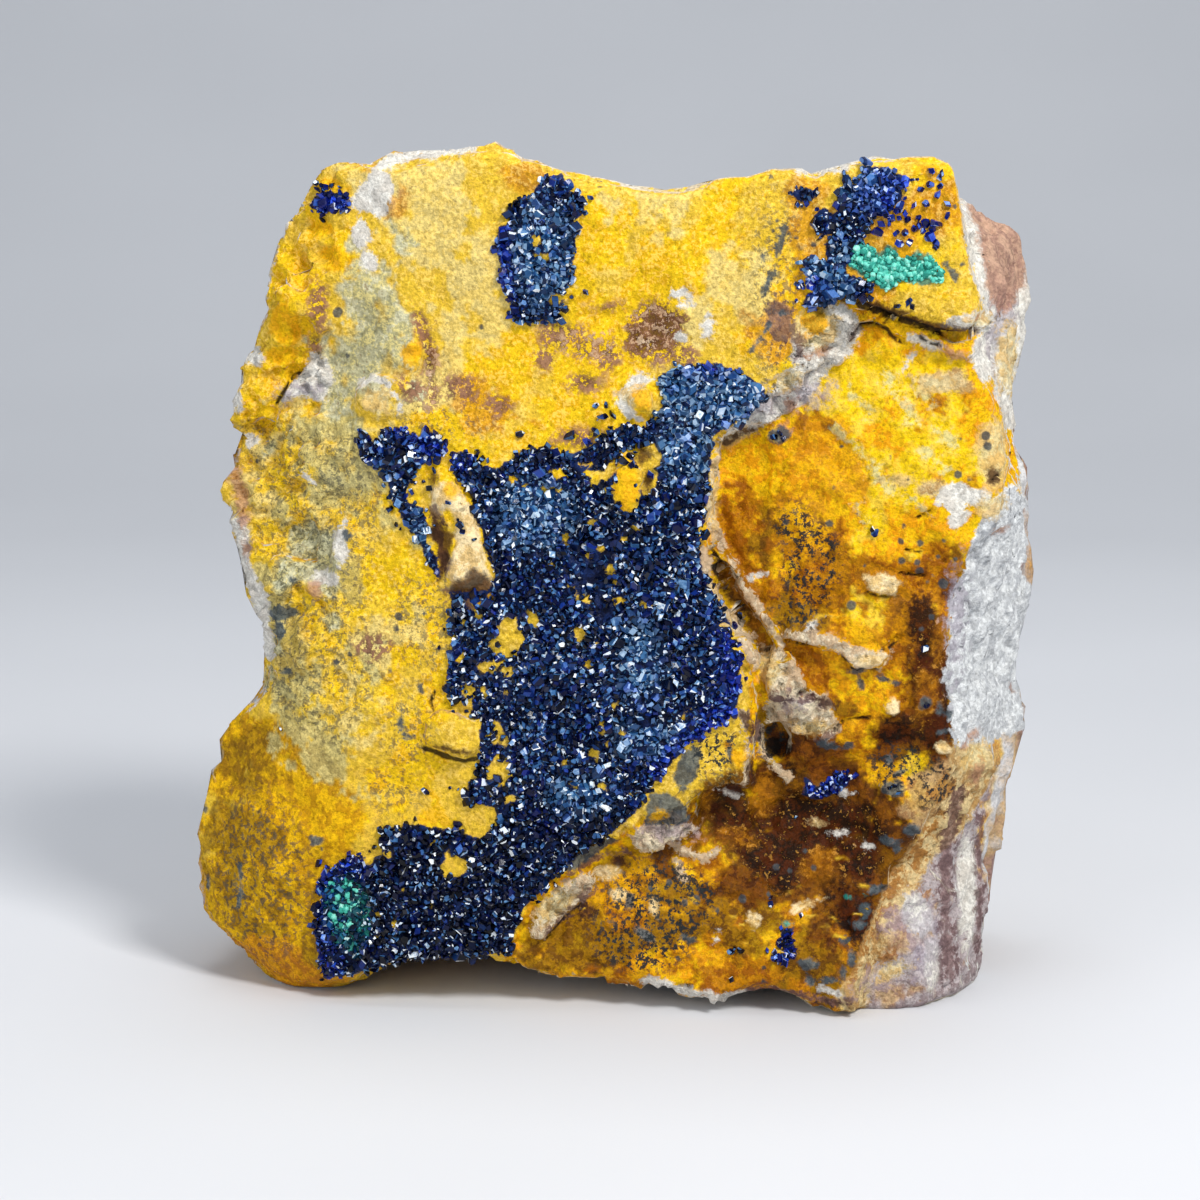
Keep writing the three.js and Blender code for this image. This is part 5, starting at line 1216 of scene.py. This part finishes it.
def crumbs(name, node, outline, ground, seed, spacing, size):
    """A green crust of small uneven lumps, larger away from its edge."""
    rng = np.random.default_rng(seed)
    template, faces = lump_template()
    points = np.asarray(outline, float)
    low, high = points.min(0), points.max(0)
    count = int((high[0] - low[0]) * (high[1] - low[1]) / spacing ** 2)
    x = rng.uniform(low[0], high[0], count)
    z = rng.uniform(low[1], high[1], count)
    place = np.stack([x, np.zeros_like(x), z], axis=1)
    distance = signed_distance(outline, x, z) + 0.5 * smooth_noise(place, 1.2, seed)
    parts = []
    for i in np.nonzero(distance > 0)[0]:
        spot, normal = ground.at(x[i], z[i])
        if spot is None:
            continue
        radius = size * rng.uniform(*CRUMB_RADIUS) * (0.8 + 0.5 * min(1, distance[i]))
        bumps = 1 + CRUMB_BUMPS * smooth_noise(template * 3 + spot, 0.8, seed)
        squash = rng.uniform(*CRUMB_SQUASH, 3)
        rise = radius * rng.uniform(*CRUMB_RISE)
        parts.append((template * bumps[:, None] * squash * radius + spot + normal * rise, faces))
    obj = joined_mesh(name, parts)
    add_field(obj.data, "tone", np.repeat(rng.uniform(size=len(parts)), len(faces)), "FACE")
    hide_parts(node)
    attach(obj, "root")
    return obj


# Materials

class Nodes:
    """Short calls that add nodes to a new material."""

    def __init__(self, name):
        self.material = bpy.data.materials.new(name)
        self.material.use_nodes = True
        self.tree = self.material.node_tree
        self.shader = self.tree.nodes["Principled BSDF"]

    def plug(self, value, socket):
        if isinstance(value, bpy.types.NodeSocket):
            self.tree.links.new(value, socket)
        else:
            socket.default_value = value

    def node(self, kind, inputs, output=0, **settings):
        node = self.tree.nodes.new(kind)
        for key, value in settings.items():
            setattr(node, key, value)
        for socket, value in inputs.items():
            self.plug(value, node.inputs[socket])
        return node.outputs[output]

    def scaled(self, vector, scale):
        return self.node("ShaderNodeVectorMath", {0: vector, "Scale": scale}, operation="SCALE")

    def millimetres(self):
        return self.scaled(self.node("ShaderNodeTexCoord", {}, "Object"), 1 / MM)

    def field(self, name, output="Fac"):
        return self.node("ShaderNodeAttribute", {}, output, attribute_name=name)

    def noise(self, place, size, detail=2.0, roughness=0.55):
        inputs = {"Vector": place, "Scale": 1 / size, "Detail": detail, "Roughness": roughness}
        return self.node("ShaderNodeTexNoise", inputs)

    def math(self, operation, a, b=0.0, c=0.0):
        return self.node("ShaderNodeMath", {0: a, 1: b, 2: c}, operation=operation)

    def weighed(self, a, share_a, b, share_b):
        return self.math("MULTIPLY_ADD", a, share_a, self.math("MULTIPLY", b, share_b))

    def step(self, value, low, high, bottom=0.0, top=1.0):
        inputs = {"Value": value, "From Min": low, "From Max": high, "To Min": bottom, "To Max": top}
        return self.node("ShaderNodeMapRange", inputs, interpolation_type="SMOOTHSTEP")

    def mix(self, factor, a, b):
        return self.node("ShaderNodeMix", {0: factor, 6: a, 7: b}, 2, data_type="RGBA")

    def blend(self, factor, a, b):
        return self.node("ShaderNodeMix", {0: factor, 2: a, 3: b}, 0, data_type="FLOAT")

    def ramp(self, value, stops):
        """Colours along a value, from (position, colour) stops in order."""
        output = self.node("ShaderNodeValToRGB", {0: value})
        elements = output.node.color_ramp.elements
        for position, _ in stops[1:-1]:
            elements.new(position)
        for element, (position, colour) in zip(elements, stops):
            element.position = position
            element.color = srgb(*colour)
        return output

    def bump(self, height, strength, distance):
        inputs = {"Height": height, "Strength": strength, "Distance": distance * MM}
        return self.node("ShaderNodeBump", inputs)

    def finish(self, colour, roughness, normal=None):
        self.plug(colour, self.shader.inputs["Base Color"])
        self.plug(roughness, self.shader.inputs["Roughness"])
        if normal:
            self.plug(normal, self.shader.inputs["Normal"])
        return self.material


# The beds of the broken sides from front to back, and the colours of the back
SIDE_BEDS = [
    (0.0, (212, 176, 112)), (0.14, (226, 212, 184)), (0.3, (226, 225, 222)), (0.42, (208, 206, 206)),
    (0.5, (196, 164, 120)), (0.56, (150, 118, 112)), (0.64, (188, 176, 168)), (0.7, (192, 140, 60)),
    (0.78, (146, 114, 104)), (0.88, (204, 188, 160)), (1.0, (170, 140, 110)),
]
SIDE_DEPTHS = (-14, 32)
BACK_COLOURS = [
    (0.0, (130, 104, 96)), (0.4, (168, 140, 112)), (0.48, (204, 178, 134)), (0.55, (196, 146, 58)),
    (0.62, (188, 172, 150)), (1.0, (216, 206, 190)),
]
GOLDEN_SIDE = srgb(214, 160, 44)
CHALK = srgb(252, 226, 130)
PORE = srgb(150, 100, 16)


def flank_colour(nodes, place, ragged):
    """The broken sides and back: bands of pale quartz, purple, beige and ochre, golden at left."""
    depth = nodes.node("ShaderNodeSeparateXYZ", {0: place}, "Y")
    depth = nodes.math("MULTIPLY_ADD", nodes.noise(place, 9, 1), 16.0, depth)
    depth = nodes.math("MULTIPLY_ADD", ragged, 5.0, depth)
    bands = nodes.ramp(nodes.step(depth, *SIDE_DEPTHS), SIDE_BEDS)
    behind = nodes.ramp(nodes.noise(place, 11, 4, 0.6), BACK_COLOURS)
    sides = nodes.mix(nodes.field("behind"), bands, behind)
    golden_left = nodes.mix(nodes.field("left"), sides, GOLDEN_SIDE)
    return nodes.mix(nodes.step(ragged, 0.46, 0.58), golden_left, sides)


def coat_colour(nodes, ragged, fine, specks):
    """The coat's two colours, mottled, with chalk dust and dark pores."""
    mottle = nodes.step(ragged, 0.45, 0.55)
    colour = nodes.mix(mottle, nodes.field("coat", "Color"), nodes.field("coat_mottle", "Color"))
    chalk = nodes.step(nodes.weighed(ragged, 0.5, fine, 0.5), 0.51, 0.58, 0.0, 0.3)
    colour = nodes.mix(nodes.math("MULTIPLY", chalk, nodes.field("dusty")), colour, CHALK)
    pores = nodes.step(nodes.weighed(specks, 0.6, fine, 0.4), 0.42, 0.36, 0.0, 0.4)
    return nodes.mix(pores, colour, PORE)


def paint_cover(nodes, name, paint, push, specks):
    """How much a layer covers: its stored distance, pushed by noise, and its specks."""
    distance = nodes.math("MULTIPLY_ADD", push, paint["ragged"], nodes.field("paint_" + name))
    cover = nodes.step(distance, -paint["soft"], paint["soft"], 0.0, paint["cover"])
    if paint["speck"]:
        threshold = 0.64 - 0.24 * paint["speck"]
        cover = nodes.math("MULTIPLY", cover, nodes.step(specks, threshold, threshold + 0.05))
    return cover


def rock_material():
    nodes = Nodes("rock_skin")
    place = nodes.millimetres()
    ragged = nodes.noise(place, 1.5, 4, 0.7)
    fine = nodes.noise(place, 0.45, 2, 0.65)
    specks = nodes.noise(place, 0.75, 3, 0.75)
    push = nodes.math("MULTIPLY_ADD", ragged, 2.0, -1.0)
    mottle = nodes.step(ragged, 0.43, 0.57)
    beyond = nodes.math("MAXIMUM", nodes.step(nodes.field("flank"), 0.35, 0.65), nodes.field("behind"))
    colour = nodes.mix(beyond, coat_colour(nodes, ragged, fine, specks), flank_colour(nodes, place, ragged))
    roughness = nodes.blend(beyond, nodes.field("coat_rough"), 0.75)
    for name, paint in PAINT.items():
        cover = paint_cover(nodes, name, paint, push, specks)
        colour = nodes.mix(cover, colour, nodes.mix(mottle, *paint["colours"]))
        roughness = nodes.blend(cover, roughness, paint["rough"])
    shade = nodes.step(nodes.weighed(ragged, 0.4, fine, 0.6), 0.36, 0.62, 0.68, 1.1)
    strength = nodes.blend(nodes.field("rugged"), 0.6, 1.0)
    normal = nodes.bump(nodes.weighed(fine, 0.8, ragged, 1.6), strength, 0.42)
    nodes.shader.inputs["Specular IOR Level"].default_value = 0.1
    return nodes.finish(nodes.scaled(colour, shade), roughness, normal)


# A blue facet's colours from its darkest tone to its painted glint: deep, vivid, milky and teal
# The pale steel-blue stops near the top of each ramp are painted reflection, and the palest ends are
# painted glints
DEEP_BLUE_AND_PAINTED_GLINT = [
    (0.0, (1, 2, 8)), (0.32, (4, 7, 24)), (0.52, (10, 22, 56)), (0.68, (24, 54, 104)),
    (0.79, (60, 106, 156)), (0.85, (120, 160, 200)), (0.89, (236, 244, 250)), (1.0, (252, 254, 255)),
]
VIVID_BLUE_AND_PAINTED_GLINT = [
    (0.0, (2, 3, 30)), (0.4, (8, 20, 104)), (0.72, (28, 62, 196)), (0.86, (96, 140, 230)),
    (1.0, (240, 248, 255)),
]
MILKY_BLUE_AND_PAINTED_GLINT = [
    (0.0, (4, 12, 40)), (0.3, (26, 70, 124)), (0.55, (78, 134, 184)), (0.74, (164, 198, 224)),
    (1.0, (252, 254, 255)),
]
TEAL_BLUE_AND_PAINTED_GLINT = [(0.0, (6, 30, 50)), (0.5, (16, 84, 100)), (0.8, (52, 150, 138)), (1.0, (170, 224, 210))]
CRUMB_GREEN = [
    (0.0, (8, 84, 76)), (0.35, (38, 160, 142)), (0.56, (104, 216, 194)), (0.76, (166, 234, 216)),
    (1.0, (206, 244, 228)),
]
AZURITE_IOR = 1.73


def azurite_material():
    nodes = Nodes("azurite_glass")
    cloud = nodes.noise(nodes.millimetres(), 0.4, 3)
    # Each facet's tone picks a colour from ramps whose pale tops are painted reflection and painted glints
    tone = nodes.math("MULTIPLY_ADD", cloud, 0.2, nodes.math("ADD", nodes.field("tone"), -0.1))
    colour = nodes.ramp(tone, DEEP_BLUE_AND_PAINTED_GLINT)
    for name, stops in [("milky", MILKY_BLUE_AND_PAINTED_GLINT), ("vivid", VIVID_BLUE_AND_PAINTED_GLINT), ("teal", TEAL_BLUE_AND_PAINTED_GLINT)]:
        colour = nodes.mix(nodes.field(name), colour, nodes.ramp(tone, stops))
    nodes.shader.inputs["IOR"].default_value = AZURITE_IOR
    nodes.shader.inputs["Specular IOR Level"].default_value = 0.14
    return nodes.finish(colour, nodes.step(cloud, 0.3, 0.7, 0.08, 0.26), nodes.bump(cloud, 0.2, 0.06))


def malachite_material():
    nodes = Nodes("malachite_crumb")
    cloud = nodes.noise(nodes.millimetres(), 0.45, 4, 0.65)
    tone = nodes.math("MULTIPLY_ADD", nodes.field("tone"), 0.5, -0.2)
    tone = nodes.math("MULTIPLY_ADD", cloud, 0.8, tone)
    return nodes.finish(nodes.ramp(tone, CRUMB_GREEN), 0.75, nodes.bump(cloud, 0.6, 0.12))


def floor_material():
    nodes = Nodes("floor_paint")
    cloud = nodes.noise(nodes.millimetres(), 90, 1)
    colour = nodes.mix(nodes.step(cloud, 0.3, 0.7), (0.68, 0.69, 0.72, 1), (0.7, 0.71, 0.74, 1))
    return nodes.finish(colour, 0.8)


# Stage

CAMERA_TARGET = np.array([-1.7, -5.0, 47.0])
CAMERA_DISTANCE = 340.0
CAMERA_ELEVATION = 10.0
CAMERA_LENS = 86.0
SENSOR_WIDTH = 36
NEAREST_VIEW = 0.01
FLOOR = {"side": 1.6, "front": -1.2, "flat_to": 0.35, "curve": 0.45, "top": 1.6, "steps": 12}
SKY_COLOUR, SKY_STRENGTH = (0.8, 0.87, 0.95, 1), 0.42
# The lights in metres and watts: place, size, power and colour. They aim at the rock's middle.
LIGHTS = {
    "key": ((0.26, -0.40, 0.50), 0.16, 3.6, (1.0, 0.98, 0.95)),
    "fill": ((-0.5, -0.45, 0.3), 0.5, 1.3, (0.95, 0.97, 1.0)),
    "top": ((0.0, 0.05, 0.6), 0.3, 1.0, (1, 1, 1)),
}
LIGHT_TARGET = Vector((0, 0, 0.045))


def make_camera():
    elevation = math.radians(CAMERA_ELEVATION)
    back = np.array([0, -math.cos(elevation), math.sin(elevation)])
    data = bpy.data.cameras.new("camera")
    data.lens = CAMERA_LENS
    data.sensor_width = SENSOR_WIDTH
    data.clip_start = NEAREST_VIEW
    camera = new_object("camera", data)
    camera.location = to_row(CAMERA_TARGET + back * CAMERA_DISTANCE)
    camera.rotation_euler = (math.radians(90 - CAMERA_ELEVATION), 0, 0)
    bpy.context.scene.camera = camera


def area_light(name, place, size, power, colour):
    data = bpy.data.lights.new(name, "AREA")
    data.size = size
    data.energy = power
    data.color = colour
    light = new_object(name, data)
    light.location = place
    light.rotation_euler = (LIGHT_TARGET - Vector(place)).to_track_quat("-Z", "Y").to_euler()


def backdrop_mesh():
    """The floor, which curves up far behind the object."""
    bend = [0.5 * math.pi * i / FLOOR["steps"] for i in range(FLOOR["steps"] + 1)]
    curve, flat_to = FLOOR["curve"], FLOOR["flat_to"]
    line = [(FLOOR["front"], 0.0)]
    line += [(flat_to + curve * math.sin(a), curve * (1 - math.cos(a))) for a in bend]
    line += [(flat_to + curve, FLOOR["top"])]
    vertices = [(side * FLOOR["side"], y, z) for y, z in line for side in (-1, 1)]
    faces = [(2 * i, 2 * i + 1, 2 * i + 3, 2 * i + 2) for i in range(len(line) - 1)]
    mesh = bpy.data.meshes.new("floor")
    mesh.from_pydata(vertices, [], faces)
    mesh.shade_smooth()
    return mesh


def make_stage():
    floor = new_object("floor", backdrop_mesh())
    floor.data.materials.append(floor_material())
    world = bpy.data.worlds.new("studio")
    bpy.context.scene.world = world
    world.use_nodes = True
    background = world.node_tree.nodes["Background"]
    background.inputs["Color"].default_value = SKY_COLOUR
    background.inputs["Strength"].default_value = SKY_STRENGTH
    for name, light in LIGHTS.items():
        area_light(name, *light)


def main():
    bpy.context.scene.view_settings.view_transform = "Standard"
    make_camera()
    rock = make_rock()
    rock.data.materials.append(rock_material())
    ground = Ground(rock)
    crusts = [
        druse("main_crust", "azurite_main_crust", MAIN_CRUST, ground, 101, MAIN_SINGLES),
        druse("left_lobe", "azurite_left_lobe", LEFT_LOBE, ground, 102),
        druse("top_patch", "azurite_top_patch", TOP_PATCH, ground, 103),
        druse("corner_patch", "azurite_corner_patch", CORNER_PATCH, ground, 104, CORNER_SINGLES),
        druse("edge_patch", "azurite_edge_patch", EDGE_PATCH, ground, 105),
        druse("plate_spot", "azurite_plate_spot", PLATE_SPOT, ground, 106),
        druse("hollow_spot", "azurite_hollow_spot", HOLLOW_SPOT, ground, 107),
        druse("foot_spot", "azurite_foot_spot", FOOT_SPOT, ground, 108),
    ]
    x, z, sizes = np.array(SCATTERED).T
    crusts.append(set_crystals("scattered_crystals", None, ground, 109, x, z, sizes))
    azurite = azurite_material()
    for crust in crusts:
        crust.data.materials.append(azurite)
    malachite = malachite_material()
    greens = [
        crumbs("corner_green", "malachite_corner_patch", CORNER_GREEN, ground, 201, 0.26, 0.25),
        crumbs("lower_green", "malachite_lower_left_patch", LOWER_GREEN, ground, 202, 0.7, 0.26),
    ]
    for green in greens:
        green.data.materials.append(malachite)
    make_stage()


main()
